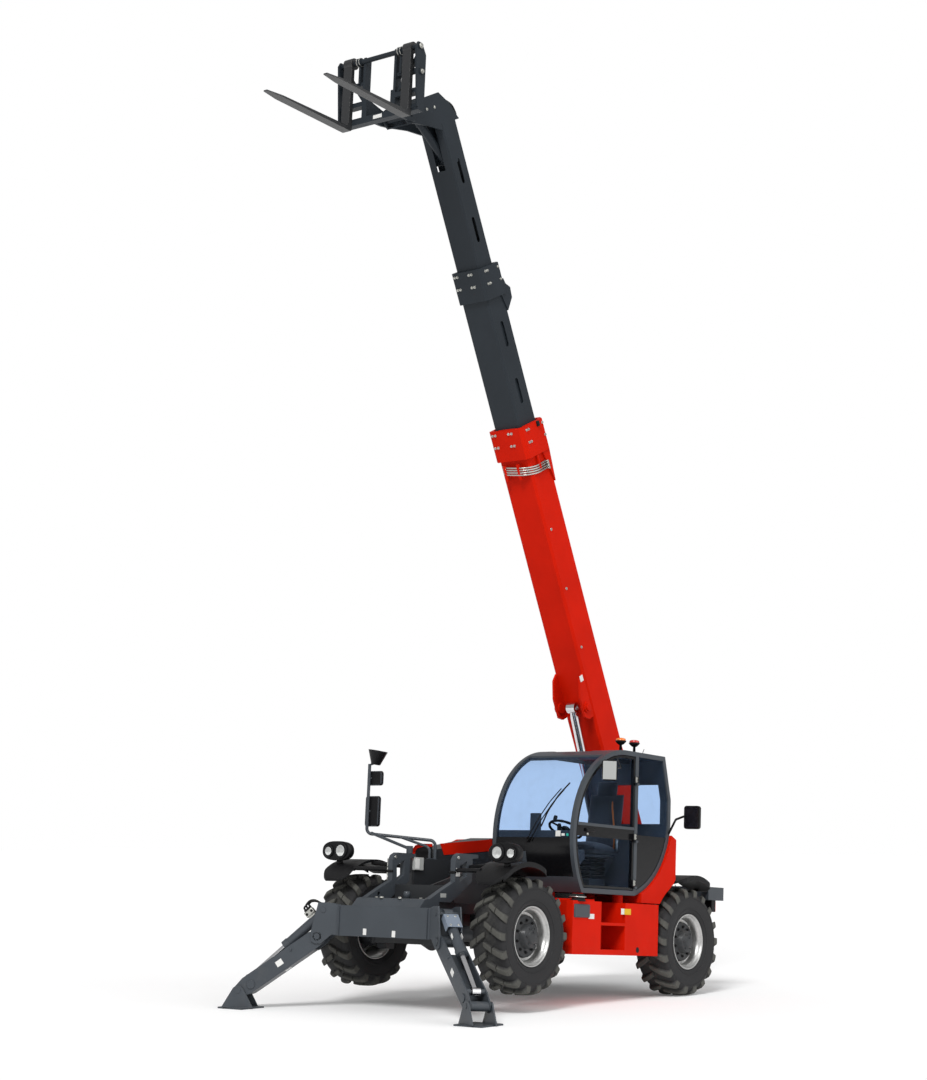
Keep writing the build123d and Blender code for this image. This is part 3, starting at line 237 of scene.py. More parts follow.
def paintedSteel(name, settings):
    finish = Finish(name)
    colour = settings["colour"]
    broad = finish.noise(1.7, 4)
    fine = finish.noise(34, 5, 0.65)
    facing = finish.axis(finish.place("Normal"), "Z")
    height = finish.axis(finish.place(), "Z")
    edge, rounded = finish.edges(settings.get("edge", 0.004))
    shade = finish.blend(finish.between(broad, 0.3, 0.72), scaled(colour, 0.86), colour)
    if "beyond" in settings:
        start, end, other = settings["beyond"]
        shade = finish.blend(finish.between(finish.axis(finish.place(), "X"), start, end), shade, other)
    dustPlace = finish.between(facing, -0.2, 1.0) * 0.5 + finish.between(height, 1.3, 0.0) * 0.75
    dustGrain = finish.clouds(9, 6, 0.7, 0.32, 0.75)
    dust = finish.between(dustPlace * dustGrain, 0.12, 0.95) * settings["dust"]
    shade = finish.blend(dust, shade, (0.20, 0.175, 0.145))
    scuff = finish.between(edge * finish.between(fine, 0.42, 0.7), 0.25, 0.8) * settings["wear"]
    shade = finish.blend(scuff, shade, settings.get("under", (0.22, 0.22, 0.23)))
    roughness = settings["rough"] + finish.noise(60, 2) * 0.10 + dust * 0.35 + scuff * 0.1
    normal = finish.bump(finish.noise(420, 2), 0.05, 0.0015, finish.bump(broad, 0.10, 0.02, rounded))
    return finish.done(finish.surface({
        "Base Color": shade, "Roughness": roughness, "Normal": normal, "Metallic": 0.0,
        "Coat Weight": settings.get("coat", 0.25), "Coat Roughness": 0.12,
        "Specular IOR Level": settings.get("specular", 0.45),
    }))


def bareMetal(name, settings):
    finish = Finish(name)
    streaks = finish.noise(settings.get("grain", 90), 4, 0.6)
    rounded = finish.edges(0.002)[1]
    grime = finish.clouds(7, 5, 0.65, 0.45, 0.8) * settings.get("grime", 0.3)
    colour = settings["colour"]
    shade = finish.blend(finish.between(streaks, 0.25, 0.8), scaled(colour, 0.8), colour)
    shade = finish.blend(grime, shade, (0.05, 0.045, 0.04))
    roughness = settings["rough"] + streaks * 0.12 + grime * 0.3
    return finish.done(finish.surface({
        "Base Color": shade, "Metallic": 1 - grime * 0.6, "Roughness": roughness,
        "Normal": finish.bump(streaks, 0.06, 0.0008, rounded),
    }))


def mouldedPlastic(name, settings):
    finish = Finish(name)
    grainPlace = {"Vector": finish.place(), "Scale": settings.get("grain", 700)}
    grain = finish.node("ShaderNodeTexVoronoi", None, grainPlace)
    upward = finish.between(finish.axis(finish.place("Normal"), "Z"), -0.3, 1.0)
    dust = finish.clouds(6, 6, 0.7, 0.4, 0.85) * upward
    edge, rounded = finish.edges(0.003)
    shade = finish.blend(dust * settings.get("dust", 0.35), settings["colour"], (0.16, 0.145, 0.12))
    shade = finish.blend(edge * 0.25, shade, scaled(settings["colour"], 2.2, 0.01))
    return finish.done(finish.surface({
        "Base Color": shade, "Roughness": settings["rough"] + dust * 0.25,
        "Normal": finish.bump(grain, 0.12, 0.0006, rounded), "Specular IOR Level": 0.18,
    }))


def tyreRubber(name, settings):
    finish = Finish(name)
    tread = finish.node("ShaderNodeAttribute", {"attribute_name": "tread"}, None, "Fac")
    mottle = finish.noise(26, 6, 0.7)
    fine = finish.noise(160, 4, 0.7)
    worn = finish.between(tread * 0.75 + mottle * 0.55, 0.45, 1.05) * settings["dust"]
    colour = settings["colour"]
    shade = finish.blend(finish.between(fine, 0.3, 0.75), colour, scaled(colour, 1.8))
    shade = finish.blend(worn, shade, settings["dustColour"])
    return finish.done(finish.surface({
        "Base Color": shade, "Roughness": settings["rough"] + worn * 0.3,
        "Normal": finish.bump(fine * 0.5 + mottle, 0.35, 0.003), "Specular IOR Level": 0.35,
    }))


def tintedGlass(name, settings):
    finish = Finish(name)
    smear = finish.clouds(5, 6, 0.7, 0.45, 0.9)
    clear = finish.node("ShaderNodeBsdfTransparent", None, {"Color": (*settings["tint"], 1)})
    gloss = finish.surface({
        "Base Color": finish.blend(smear, (0.02, 0.025, 0.03), (0.16, 0.16, 0.15)),
        "Roughness": 0.03 + smear * 0.25, "Specular IOR Level": 0.8,
    })
    # facing serves both sides of a pane, where a Fresnel node darkens the back
    grazing = finish.node("ShaderNodeLayerWeight", None, {"Blend": 0.5}, "Facing")
    share = 0.02 + grazing ** 5 * 0.6 + smear * settings["smear"]
    return finish.done(finish.node("ShaderNodeMixShader", None, {0: share, 1: clear, 2: gloss}))


def lampGlass(name, settings):
    finish = Finish(name)
    ribs = finish.node(
        "ShaderNodeTexWave", {"bands_direction": settings.get("ribs", "Y")},
        {"Vector": finish.place(), "Scale": settings.get("ribScale", 60)})
    bright = tuple(min(1, each * 1.35) for each in settings["colour"])
    shade = finish.blend(finish.between(finish.noise(30, 3), 0.3, 0.8), settings["colour"], bright)
    return finish.done(finish.surface({
        "Base Color": shade, "Roughness": 0.08 + ribs * 0.1, "Metallic": settings.get("metal", 0.0),
        "Normal": finish.bump(ribs, 0.25, 0.002), "Coat Weight": 1.0, "Coat Roughness": 0.03,
    }))


def wovenCloth(name, settings):
    finish = Finish(name)
    across, along = [
        finish.node(
            "ShaderNodeTexWave", {"bands_direction": way},
            {"Vector": finish.place(), "Scale": 170, "Distortion": 0.6})
        for way in ("X", "Z")]
    weave = across * 0.5 + along * 0.5
    worn = finish.between(finish.noise(8, 5), 0.4, 0.8)
    shade = finish.blend(weave, settings["colour"], scaled(settings["colour"], 1.9))
    shade = finish.blend(worn * 0.3, shade, (0.09, 0.085, 0.08))
    return finish.done(finish.surface({
        "Base Color": shade, "Roughness": 0.82 + worn * 0.1, "Sheen Weight": 0.25,
        "Normal": finish.bump(weave, 0.4, 0.0012),
    }))


redSettings = dict(
    colour=(0.62, 0.0115, 0.0015), rough=0.42, dust=0.05, wear=0.30, coat=0.0, specular=0.05,
    under=(0.30, 0.05, 0.04),
)
# the side box turns from red to black ahead of its steps, over a few centimetres
bodySettings = dict(redSettings, dust=0.08, beyond=(0.30, 0.36, (0.020, 0.022, 0.025)))
finishes = dict(
    red=paintedSteel("redPaint", redSettings),
    bodyRed=paintedSteel("bodyRed", bodySettings),
    panel=paintedSteel("panelBlack", dict(
        colour=(0.005, 0.005, 0.006), rough=0.14, dust=0.02, wear=0.05, coat=0.05, specular=0.22)),
    grey=paintedSteel("greyPaint", dict(
        colour=(0.050, 0.059, 0.070), rough=0.40, dust=0.10, wear=0.25, specular=0.35, coat=0.1)),
    boomGrey=paintedSteel("boomGreyPaint", dict(
        colour=(0.021, 0.027, 0.034), rough=0.42, dust=0.03, wear=0.15, specular=0.18, coat=0.03)),
    charcoal=paintedSteel("charcoalPaint", dict(
        colour=(0.020, 0.022, 0.025), rough=0.45, dust=0.22, wear=0.25, coat=0.1)),
    forkBlack=paintedSteel("forkBlack", dict(
        colour=(0.022, 0.023, 0.025), rough=0.42, dust=0.1, wear=0.9, edge=0.008, under=(0.26, 0.25, 0.24))),
    slate=paintedSteel("slateGuard", dict(colour=(0.19, 0.23, 0.29), rough=0.4, dust=0.1, wear=0.3)),
    silver=bareMetal("rimSilver", dict(colour=(0.62, 0.62, 0.61), rough=0.34, grime=0.45)),
    chrome=bareMetal("chromeRod", dict(colour=(0.80, 0.80, 0.82), rough=0.10, grime=0.12)),
    zinc=bareMetal("zincPipe", dict(colour=(0.60, 0.60, 0.56), rough=0.30, grime=0.35, grain=300)),
    mirror=bareMetal("mirrorFace", dict(colour=(0.75, 0.77, 0.80), rough=0.03, grime=0.05)),
    # dark reddish metal for the left mirror's glass: painted reflection, standing in for what that mirror
    # shows
    mirrorPaintedReflection=bareMetal("mirrorPaintedReflection", dict(colour=(0.07, 0.05, 0.05), rough=0.06, grime=0.2)),
    black=mouldedPlastic("blackPlastic", dict(colour=(0.007, 0.007, 0.008), rough=0.42, dust=0.05)),
    soot=mouldedPlastic("sootPlastic", dict(colour=(0.008, 0.008, 0.009), rough=0.6, dust=0.15)),
    dashGrey=mouldedPlastic("dashGrey", dict(colour=(0.055, 0.058, 0.062), rough=0.55, dust=0.1)),
    rubber=mouldedPlastic("hoseRubber", dict(colour=(0.012, 0.012, 0.012), rough=0.5, grain=1200, dust=0.3)),
    # pale grey plastic for plates and boxes; on the door mirror's glass it is a painted reflection
    paleGrey=mouldedPlastic("paleGrey", dict(colour=(0.38, 0.39, 0.38), rough=0.35, dust=0.2, grain=300)),
    label=mouldedPlastic("labelWhite", dict(colour=(0.72, 0.72, 0.70), rough=0.45, dust=0.2, grain=200)),
    teal=mouldedPlastic("labelTeal", dict(colour=(0.03, 0.42, 0.33), rough=0.45, dust=0.1, grain=200)),
    yellow=mouldedPlastic("labelYellow", dict(colour=(0.70, 0.42, 0.02), rough=0.45, dust=0.2, grain=200)),
    tyre=tyreRubber("tyreRubber", dict(
        colour=(0.011, 0.011, 0.012), dustColour=(0.088, 0.087, 0.078), rough=0.66, dust=0.92)),
    glass=tintedGlass("cabGlazing", dict(tint=(0.815, 0.89, 0.985), smear=0.05)),
    lens=lampGlass("lampLens", dict(colour=(0.62, 0.63, 0.62), metal=0.6)),
    amber=lampGlass("amberLens", dict(colour=(0.75, 0.16, 0.005), ribs="Z", ribScale=45)),
    redLens=lampGlass("redLens", dict(colour=(0.55, 0.02, 0.01), ribs="Z", ribScale=45)),
    cloth=wovenCloth("seatCloth", dict(colour=(0.016, 0.016, 0.018))),
    orange=wovenCloth("beltOrange", dict(colour=(0.42, 0.10, 0.01))),
)

nodeFinishes = dict(
    charcoal=(
        "axle_{end} knuckle_{end}_{side} chassis_frame lift_barrel roof_guard engine_housing engine_block"),
    grey="rear_bumper stabiliser_beam foot_{side} leg_{side} leg_barrel_{side} cab_frame mirror_mast",
    chrome="tie_rod_{end} leg_rod_{side} lift_rod tilt_rod",
    silver="rim_{end}_{side}",
    tyre="tyre_{end}_{side}",
    black="tail_lamps fenders_{end} headlamps mirror_left",
    red="boom_outer engine_hood",
    bodyRed="body_left",
    boomGrey="boom_middle boom_inner tilt_barrel carriage",
    forkBlack="forks",
    panel="cab_panels door_frame",
    glass="cab_glass door_glass",
    cloth="seat",
    dashGrey="dashboard",
    soot="steering_wheel",
    amber="beacons",
)
for finish, names in nodeFinishes.items():
    for end, side in (("front", "left"), ("front", "right"), ("rear", "left"), ("rear", "right")):
        for name in names.format(end=end, side=side).split():
            nodes[name].data.materials.clear()
            nodes[name].data.materials.append(finishes[finish])
print("finishes made:", len(finishes))


def makeFloor(settings):
    finish = Finish("paleFloor")
    seen, mirrored = [
        finish.node("ShaderNodeLightPath", output=f"Is {ray} Ray") for ray in ("Camera", "Glossy")]
    shade = finish.blend(finish.noise(2, 2), (0.93, 0.93, 0.93), (0.95, 0.95, 0.95))
    matt = finish.node("ShaderNodeBsdfDiffuse", None, {"Color": shade})
    glow = {"Color": (1, 1, 1, 1), "Strength": (seen + mirrored) * settings["floorLift"]}
    lift = finish.node("ShaderNodeEmission", None, glow)
    material = finish.done(finish.node("ShaderNodeAddShader", None, {0: matt, 1: lift}))
    mesh = bpy.data.meshes.new("floor")
    half = settings["floorHalf"]
    mesh.from_pydata(
        [(-half, -half, 0), (half, -half, 0), (half, half, 0), (-half, half, 0)], [], [(0, 1, 2, 3)])
    floor = bpy.data.objects.new("floor", mesh)
    bpy.context.scene.collection.objects.link(floor)
    mesh.materials.append(material)


def makeSky(settings):
    # white to the camera and through glass, dimmer as a light
    finish = Finish("studio", bpy.data.worlds)
    bpy.context.scene.world = finish.material
    seen, through = [
        finish.node("ShaderNodeLightPath", output=f"Is {ray} Ray") for ray in ("Camera", "Transmission")]
    level = finish.node("ShaderNodeMapRange", None, {0: seen + through, 3: settings["worldLevel"], 4: 1.0})
    light = finish.node("ShaderNodeBackground", None, {0: (1, 1, 1, 1), 1: level})
    finish.node("ShaderNodeOutputWorld", None, {0: light})


makeFloor(lightSettings)
makeSky(lightSettings)
print("stage ready")


class Shape:
    # gathers solids in one mesh, in millimetres; each call takes the index of its finish
    def __init__(self):
        self.mesh = bmesh.new()

    def face(self, points, slot=0, smooth=False):
        made = self.mesh.faces.new(points)
        made.material_index = slot
        made.smooth = smooth
        return made

    def box(self, low, high, bevel=0.0, slot=0, turn=None):
        corners = bmesh.ops.create_cube(self.mesh, size=1)["verts"]
        middle = (Vector(low) + Vector(high)) / 2
        size = Vector(high) - Vector(low)
        for corner in corners:
            corner.co = Vector(corner.co[i] * size[i] for i in range(3))
            corner.co = (turn @ corner.co if turn else corner.co) + middle
        faces = {face for corner in corners for face in corner.link_faces}
        self.round(faces, bevel, slot)

    def round(self, faces, bevel, slot):
        for face in faces:
            face.material_index = slot
        if bevel:
            edges = {edge for face in faces for edge in face.edges}
            made = bmesh.ops.bevel(
                self.mesh, geom=list(edges), offset=bevel, segments=2, affect="EDGES", profile=0.5,
                clamp_overlap=True)
            for face in made["faces"]:
                face.material_index = slot
                face.smooth = True

    def prism(self, outline, depth, plane, slot=0):
        # an outline drawn in two axes, made solid along the third
        first, second = [
            [self.mesh.verts.new((a, level, b) if plane == "xz" else (level, a, b)) for a, b in outline]
            for level in depth]
        count = len(outline)
        faces = [self.mesh.faces.new(first), self.mesh.faces.new(list(reversed(second)))]
        for n in range(count):
            m = (n + 1) % count
            faces.append(self.mesh.faces.new((first[m], first[n], second[n], second[m])))
        self.round(faces, 0, slot)

    def rings(self, rings, slot=0, caps=True, smooth=True):
        made = [[self.mesh.verts.new(point) for point in ring] for ring in rings]
        for lower, upper in zip(made, made[1:]):
            for n in range(len(lower)):
                m = (n + 1) % len(lower)
                self.face((lower[n], lower[m], upper[m], upper[n]), slot, smooth)
        if caps:
            self.face(list(reversed(made[0])), slot)
            self.face(made[-1], slot)
        return made

    def lathe(self, profile, sides, place=None, slot=0, caps=True, smooth=True):
        # profile of (along, radius) turned about local Y
        place = place or Matrix.Identity(4)
        turns = turnsOf(sides)
        rings = [[place @ around(radius, turn, along) for turn in turns] for along, radius in profile]
        return self.rings(rings, slot, caps=caps, smooth=smooth)

    def rod(self, start, end, radius, sides=20, slot=0, chamfer=1.5):
        length = (Vector(end) - Vector(start)).length
        step = min(chamfer, radius * 0.3, length * 0.3)
        profile = [(0, radius - step), (step, radius), (length - step, radius), (length, radius - step)]
        self.lathe(profile, sides, lineBetween(start, end), slot)

    def bolt(self, place, out, across=24, height=13, slot=0, washer=True):
        place, out = Vector(place), Vector(out).normalized()
        line = lineBetween(place, place + out)
        half = across / 2 / math.cos(math.pi / 6)
        if washer:
            self.lathe([(-1, across * 0.75), (3, across * 0.75), (3.5, across * 0.7)], 20, line, slot)
        self.lathe([(2, half), (height - 2, half), (height, half * 0.86)], 6, line, slot, smooth=False)

    def tube(self, points, radius, sides=12, slot=0, bend=0.0):
        # a bent pipe: straight runs with its corners rounded
        line = roundedLine([Vector(point) for point in points], bend)
        rings, up = [], None
        for n, point in enumerate(line):
            ahead = (line[min(n + 1, len(line) - 1)] - line[max(n - 1, 0)]).normalized()
            if up is None:
                up = ahead.orthogonal().normalized()
            up = (up - ahead * up.dot(ahead)).normalized()
            side = ahead.cross(up)
            rings.append([
                point + (up * math.cos(turn) + side * math.sin(turn)) * radius for turn in turnsOf(sides)])
        self.rings(rings, slot)

    def piece(self, name, place, body, slots, replaced=(), recordSlot=None):
        bmesh.ops.recalc_face_normals(self.mesh, faces=self.mesh.faces)
        mesh = bpy.data.meshes.new(name)
        self.mesh.to_mesh(mesh)
        self.mesh.free()
        mesh.transform(place)
        if place.to_3x3().determinant() < 0:
            mesh.flip_normals()
        for slot in slots:
            mesh.materials.append(finishes[slot])
        made = bpy.data.objects.new(name, mesh)
        bpy.context.scene.collection.objects.link(made)
        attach(made, body)
        if replaced:
            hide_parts(*replaced)
        return made


def roundedLine(points, bend):
    if not bend:
        return points
    line = [points[0]]
    for before, corner, after in zip(points, points[1:], points[2:]):
        inward, outward = (before - corner), (after - corner)
        reach = min(bend, inward.length * 0.45, outward.length * 0.45)
        first, last = corner + inward.normalized() * reach, corner + outward.normalized() * reach
        for k in range(6):
            share = k / 5
            toward, away = first * (1 - share) + corner * share, corner * (1 - share) + last * share
            line.append(toward * (1 - share) + away * share)
    return line + [points[-1]]


tyreSettings = dict(
    crown=540, lugs=18, lean=110, lugWide=52, rootWide=72, turnSteps=144,
    sidewall=[
        (150, 297), (166, 309), (178, 330), (188, 362), (195, 400), (198, 440), (196, 474), (188, 500),
        (176, 518), (140, 533), (80, 539), (0, 541)],
    raisedRings=((352, 187.5), (468, 197.5)),
    stations=[
        # along, lean share, top radius, foot radius, width share
        (-6, -0.05, 575, 536, 0.80), (20, 0.08, 576, 537, 0.95), (66, 0.34, 576, 536, 1.0),
        (112, 0.58, 574, 533, 1.0), (150, 0.78, 569, 526, 1.06), (180, 0.93, 560, 508, 1.12),
        (196, 1.0, 545, 480, 1.16), (197.5, 1.01, 500, 470, 1.0)],
    groove=[(84, 0.44, 575, 536, 1.0), (96, 0.50, 575, 535, 1.04)],
    wear=(0.35, 0.75, 0.95, 1.0, 1.0, 0.95, 0.75, 0.35),
)


def tyreShape(settings, blocky):
    shape = Shape()
    wear = shape.mesh.verts.layers.float.new("tread")
    half = settings["sidewall"]
    profile = [(-along, radius) for along, radius in half] + half[-2::-1]
    rings = shape.lathe(profile, settings["turnSteps"], caps=False)
    for n, ring in enumerate(rings):
        depth = min(n, len(rings) - 1 - n) / len(half)
        for vert in ring:
            vert[wear] = max(0.0, depth - 0.55) * 1.5
    for radius, along in settings["raisedRings"]:
        for side in (-1, 1):
            shape.lathe([
                (side * (along - 4), radius - 7), (side * (along + 2.2), radius - 4),
                (side * (along + 2.2), radius + 4), (side * (along - 5), radius + 7)], 96, caps=False)
    pitch = 2 * math.pi / settings["lugs"]
    for n in range(settings["lugs"]):
        for side in (-1, 1):
            start = pitch * (n + (0.5 if side < 0 else 0))
            addLug(shape, wear, settings, start, side, blocky)
    return shape


def addLug(shape, wear, settings, start, side, blocky):
    # one bar from the middle of the tread, over the shoulder and down the side wall
    stations = settings["stations"]
    groups = [stations]
    if blocky:
        # a groove cuts the bar into two blocks
        inner, outer = settings["groove"]
        groups = [stations[:3] + [inner], [outer] + stations[3:]]
    for group in groups:
        rings = []
        for along, lean, top, foot, wide in group:
            middle = start + settings["lean"] * lean / settings["crown"]
            topHalf = settings["lugWide"] * wide / 2 / top
            footHalf = settings["rootWide"] * wide / 2 / foot
            rings.append([
                around(radius, turn, side * along) for turn, radius in (
                    (middle - footHalf, foot), (middle - topHalf - 4 / top, top - 7),
                    (middle - topHalf, top - 1.5), (middle - topHalf * 0.5, top),
                    (middle + topHalf * 0.5, top), (middle + topHalf, top - 1.5),
                    (middle + topHalf + 4 / top, top - 7), (middle + footHalf, foot))])
        for ring in shape.rings(rings, smooth=False):
            for vert, share in zip(ring, settings["wear"]):
                vert[wear] = share


rimSettings = dict(
    profile=[
        (165, 297), (167, 290), (163, 282), (150, 279), (139, 268), (132, 258), (96, 252), (64, 247),
        (52, 243), (48, 234), (49, 214), (54, 206), (66, 196), (74, 184), (80, 178), (80, 120),
    ],
    back=[(-165, 297), (-167, 290), (-160, 280), (-140, 270), (-130, 262), (40, 250)],
    well=[(-150, 297), (165, 297)],
    nuts=10, nutCircle=158, lugs=5, lugCircle=226, lugHalf=(14, 9, 14), valve=((0, 60, 268), (0, 128, 262)),
)


def rimShape(settings):
    shape = Shape()
    shape.lathe(settings["profile"], 96, caps=False)
    shape.lathe(settings["back"], 72, caps=False)
    shape.lathe(settings["well"], 72, caps=False)
    for turn in turnsOf(settings["nuts"]):
        x, z = around(settings["nutCircle"], turn, 0).xz
        shape.bolt((x, 80, z), (0, 1, 0), 27, 24, 2)
        shape.rod((x, 96, z), (x, 112, z), 9, 10, 2)
    # lugs welded between disc and well
    half = Vector(settings["lugHalf"])
    for turn in turnsOf(settings["lugs"], 0.35):
        spot = around(settings["lugCircle"], turn, 58)
        shape.box(spot - half, spot + half, 3, 0, Matrix.Rotation(turn, 3, "Y"))
    shape.rod(*settings["valve"], 5, 10, 2)
    return shape


hubSettings = dict(
    profile=[
        (52, 214), (84, 206), (90, 198), (90, 130), (96, 122), (150, 114), (158, 104), (162, 74), (176, 70),
        (181, 62), (182, 20)],
    bolts=6, boltCircle=88, plugAt=(0, 181, 42),
)


def hubShape(settings):
    shape = Shape()
    shape.lathe(settings["profile"], 64)
    for turn in turnsOf(settings["bolts"], 0.5):
        shape.bolt(around(settings["boltCircle"], turn, 160), (0, 1, 0), 15, 9, 0, False)
    shape.bolt(settings["plugAt"], (0, 1, 0), 17, 8, 0, False)
    return shape


bothSides = dict(left=1, right=-1)
for end in ("front", "rear"):
    for sideName, side in bothSides.items():
        wheel = f"{end}_{sideName}"
        body, place = f"wheel_{wheel}", wheelLine(end, side)
        tyreShape(tyreSettings, end == "front").piece(
            f"tyreTread_{wheel}", place, body, ["tyre"], [f"tyre_{wheel}"], "tyre_rubber")
        rimShape(rimSettings).piece(
            f"wheelRim_{wheel}", place, body, ["silver", "zinc", "black"], [f"rim_{wheel}"], "rim_silver")
        hubShape(hubSettings).piece(f"wheelHub_{wheel}", place, body, ["charcoal"])
print("wheels dressed")


beamSettings = dict(
    labels=((2341, -225, 560), (2341, 150, 550)), labelHalf=(22, 31), armFace=441,
    armPin=(1722, 1326), armHole=(1771, 1180), ledgeBolts=((2060, 250), (2060, 330), (2230, 120)),
    stubAt=(1978, 0, 900), stub=[(0, 36), (60, 36), (66, 32), (72, 32), (75, 28)],
    ringAt=(1696, -448, 1318), ring=[(-7, 17), (7, 17), (7, 30), (-7, 30), (-7, 17)],
    chainLinks=5, chainStep=46,
)


def beamDetails(settings):
    shape = Shape()
    wide, high = settings["labelHalf"]
    for x, y, z in settings["labels"]:
        shape.box((x - 1, y - wide, z - high), (x + 2, y + wide, z + high), 1.5, 0)
    pinX, pinZ = settings["armPin"]
    holeX, holeZ = settings["armHole"]
    for side in (-1, 1):
        face = side * settings["armFace"]
        shape.rod((pinX, side * 374, pinZ), (pinX, side * 448, pinZ), 17, 24, 2, 3)
        shape.rod((holeX, side * 374, holeZ), (holeX, side * 446, holeZ), 13, 20, 4, 2)
        # blank plates on the arms
        shape.box((1690, face - 1.5, 1140), (1756, face + 1.5, 1222), 1, 0)
        shape.box((1900, face - 1.5, 925), (1990, face + 1.5, 965), 1, 3)
        # thin rail up the beam face
        y = side * 570
        shape.tube([(2338, y, 520), (2346, y, 520), (2346, y, 806), (2338, y, 806)], 5, 8, 1, 5)
        for x, y in settings["ledgeBolts"]:
            shape.bolt((x, side * y, 897), (0, 0, 1), 30, 18, 2)
    shape.lathe(settings["stub"], 28, moved(*settings["stubAt"]) @ turned(90, "X"), 1)
    # control box and its label on the right wall
    shape.box((1270, -405, 1205), (1424, -374, 1338), 6, 3)
    shape.box((1340, -376, 1220), (1410, -372.5, 1325), 1, 5)
    # chain and ring that hang from the arm's nose
    for n in range(settings["chainLinks"]):
        drop = n * settings["chainStep"]
        link = Matrix.Rotation(math.radians(90 * (n % 2)), 3, "Z")
        shape.box((1762, -452, 1270 - drop), (1774, -440, 1310 - drop), 5, 2, link)
    shape.lathe(settings["ring"], 28, moved(*settings["ringAt"]), 2, caps=False)
    return shape


beamDetails(beamSettings).piece(
    "beamFittings", machineLine, "root", ["label", "grey", "zinc", "paleGrey", "soot", "label"])


legSettings = dict(
    pivotCap=[(0, 50), (12, 50), (16, 46), (16, 26), (10, 22)], footCap=[(0, 44), (8, 44), (11, 40)],
    footAt=(830, -20), face=106,
)
guardSettings = dict(
    outline=[(-80, -4), (-76, -4), (-72, 58), (72, 58), (76, -4), (80, -4), (77, 64), (-77, 64)],
    along=(64, 236), bolts=((90, 40), (90, -40), (210, 40), (210, -40)),
)
valveSettings = dict(first=105, step=30, lifts=(164, 178, 170))


def legDetails(settings):
    # blank plates, pin heads and bolts of one leg, in its sloping line
    shape = Shape()
    (footX, footZ), out = settings["footAt"], settings["face"]
    for face in (-1, 1):
        shape.lathe(settings["pivotCap"], 36, outward(0, out, 0, face), 1)
        shape.lathe(settings["footCap"], 32, outward(footX, out - 1, footZ, face), 1)
        shape.box((430, face * out - 1.5, -34), (505, face * out + 1.5, 24), 1, 0)
        shape.bolt((300, face * (out - 1), 40), (0, face, 0), 22, 12, 1)
    shape.box((410, -46, -97), (480, 46, -94.5), 1, 0)
    return shape


def cylinderGuard(settings):
    # folded plate over the valve of the left cylinder
    shape = Shape()
    shape.prism(settings["outline"], settings["along"], "yz")
    for x, y in settings["bolts"]:
        shape.bolt((x, y, 62), (0, 0, 1), 16, 8, 1)
    shape.box((110, -34, 40), (190, 34, 60), 4, 2)
    for side in (-1, 1):
        inner, outer = sorted((side * 49.5, side * 52))
        shape.box((300, inner, 8), (360, outer, 44), 1, 3)
    return shape


def valveBlock(settings):
    # the stabiliser valve with its hose tails, on the rear end of a leg's cylinder
    shape = Shape()
    shape.box((90, -48, 60), (190, 48, 118), 6, 0)
    shape.box((104, -30, 38), (176, 30, 64), 4, 0)
    for x in (110, 170):
        shape.bolt((x, 49, 88), (0, 1, 0), 18, 12, 1)
    for n, lift in enumerate(settings["lifts"]):
        x, aside = settings["first"] + n * settings["step"], n * 14
        shape.rod((x, -20, 116), (x, -20, 150), 12, 14, 1)
        shape.rod((x, 26, 116), (x, 26, 140), 10, 14, 1)
        shape.tube([
            (x, -20, 140), (x - 1, -20, lift), (66, aside - 20, lift + 8), (20, aside - 16, lift - 24),
            (-14, aside - 10, 70), (-6, aside - 10, 40)], 10, 12, 2, 30)
    return shape


valveBlock(valveSettings).piece(
    "legValves", legBarrelLine(-1), "leg_barrel_right", ["zinc", "black", "rubber"])
cylinderGuard(guardSettings).piece(
    "legGuard", legBarrelLine(1), "leg_barrel_left", ["slate", "zinc", "black", "label"])
for sideName, side in bothSides.items():
    legDetails(legSettings).piece(
        f"legFittings_{sideName}", legDownLine(side), f"leg_{sideName}", ["label", "grey", "zinc"])


# along the boom's own line, from its pivot
boomSettings = dict(
    outer=dict(end=5055, low=-249, high=187, half=200),
    middle=dict(end=6854, low=-221, high=146, half=175),
    outerWall=32, middleWall=28, boltAcross=21,
)
outerSettings = dict(
    half=200, low=-249, bracketAt=(1790, 211, -338), bracketCap=[(0, 40), (14, 40), (18, 36)],
    pipes=4, pipeStep=26, sideBolts=(2450, 3150, 3850),
)
innerSettings = dict(
    headAt=(8642, 158, -700), headCap=[(0, 62), (10, 62), (14, 56)], capBolts=6, capCircle=42,
    sideBolts=(-520, -380, -240),
)


def collarBolts(shape, size, wall, slot):
    end, half, low, high = size["end"], size["half"] + wall, size["low"] - wall, size["high"] + wall
    across = boomSettings["boltAcross"]
    for s in (end - 185, end - 45):
        for y in (-half * 0.76, -half * 0.58, half * 0.2, half * 0.38):
            shape.bolt((s, y, low), (0, 0, -1), across, 14, slot)
            shape.bolt((s, y, high), (0, 0, 1), across, 14, slot)
        for face in (-1, 1):
            for h in (low + 90, low + 130, high - 90):
                shape.bolt((s, face * half, h), (0, face, 0), across, 14, slot)


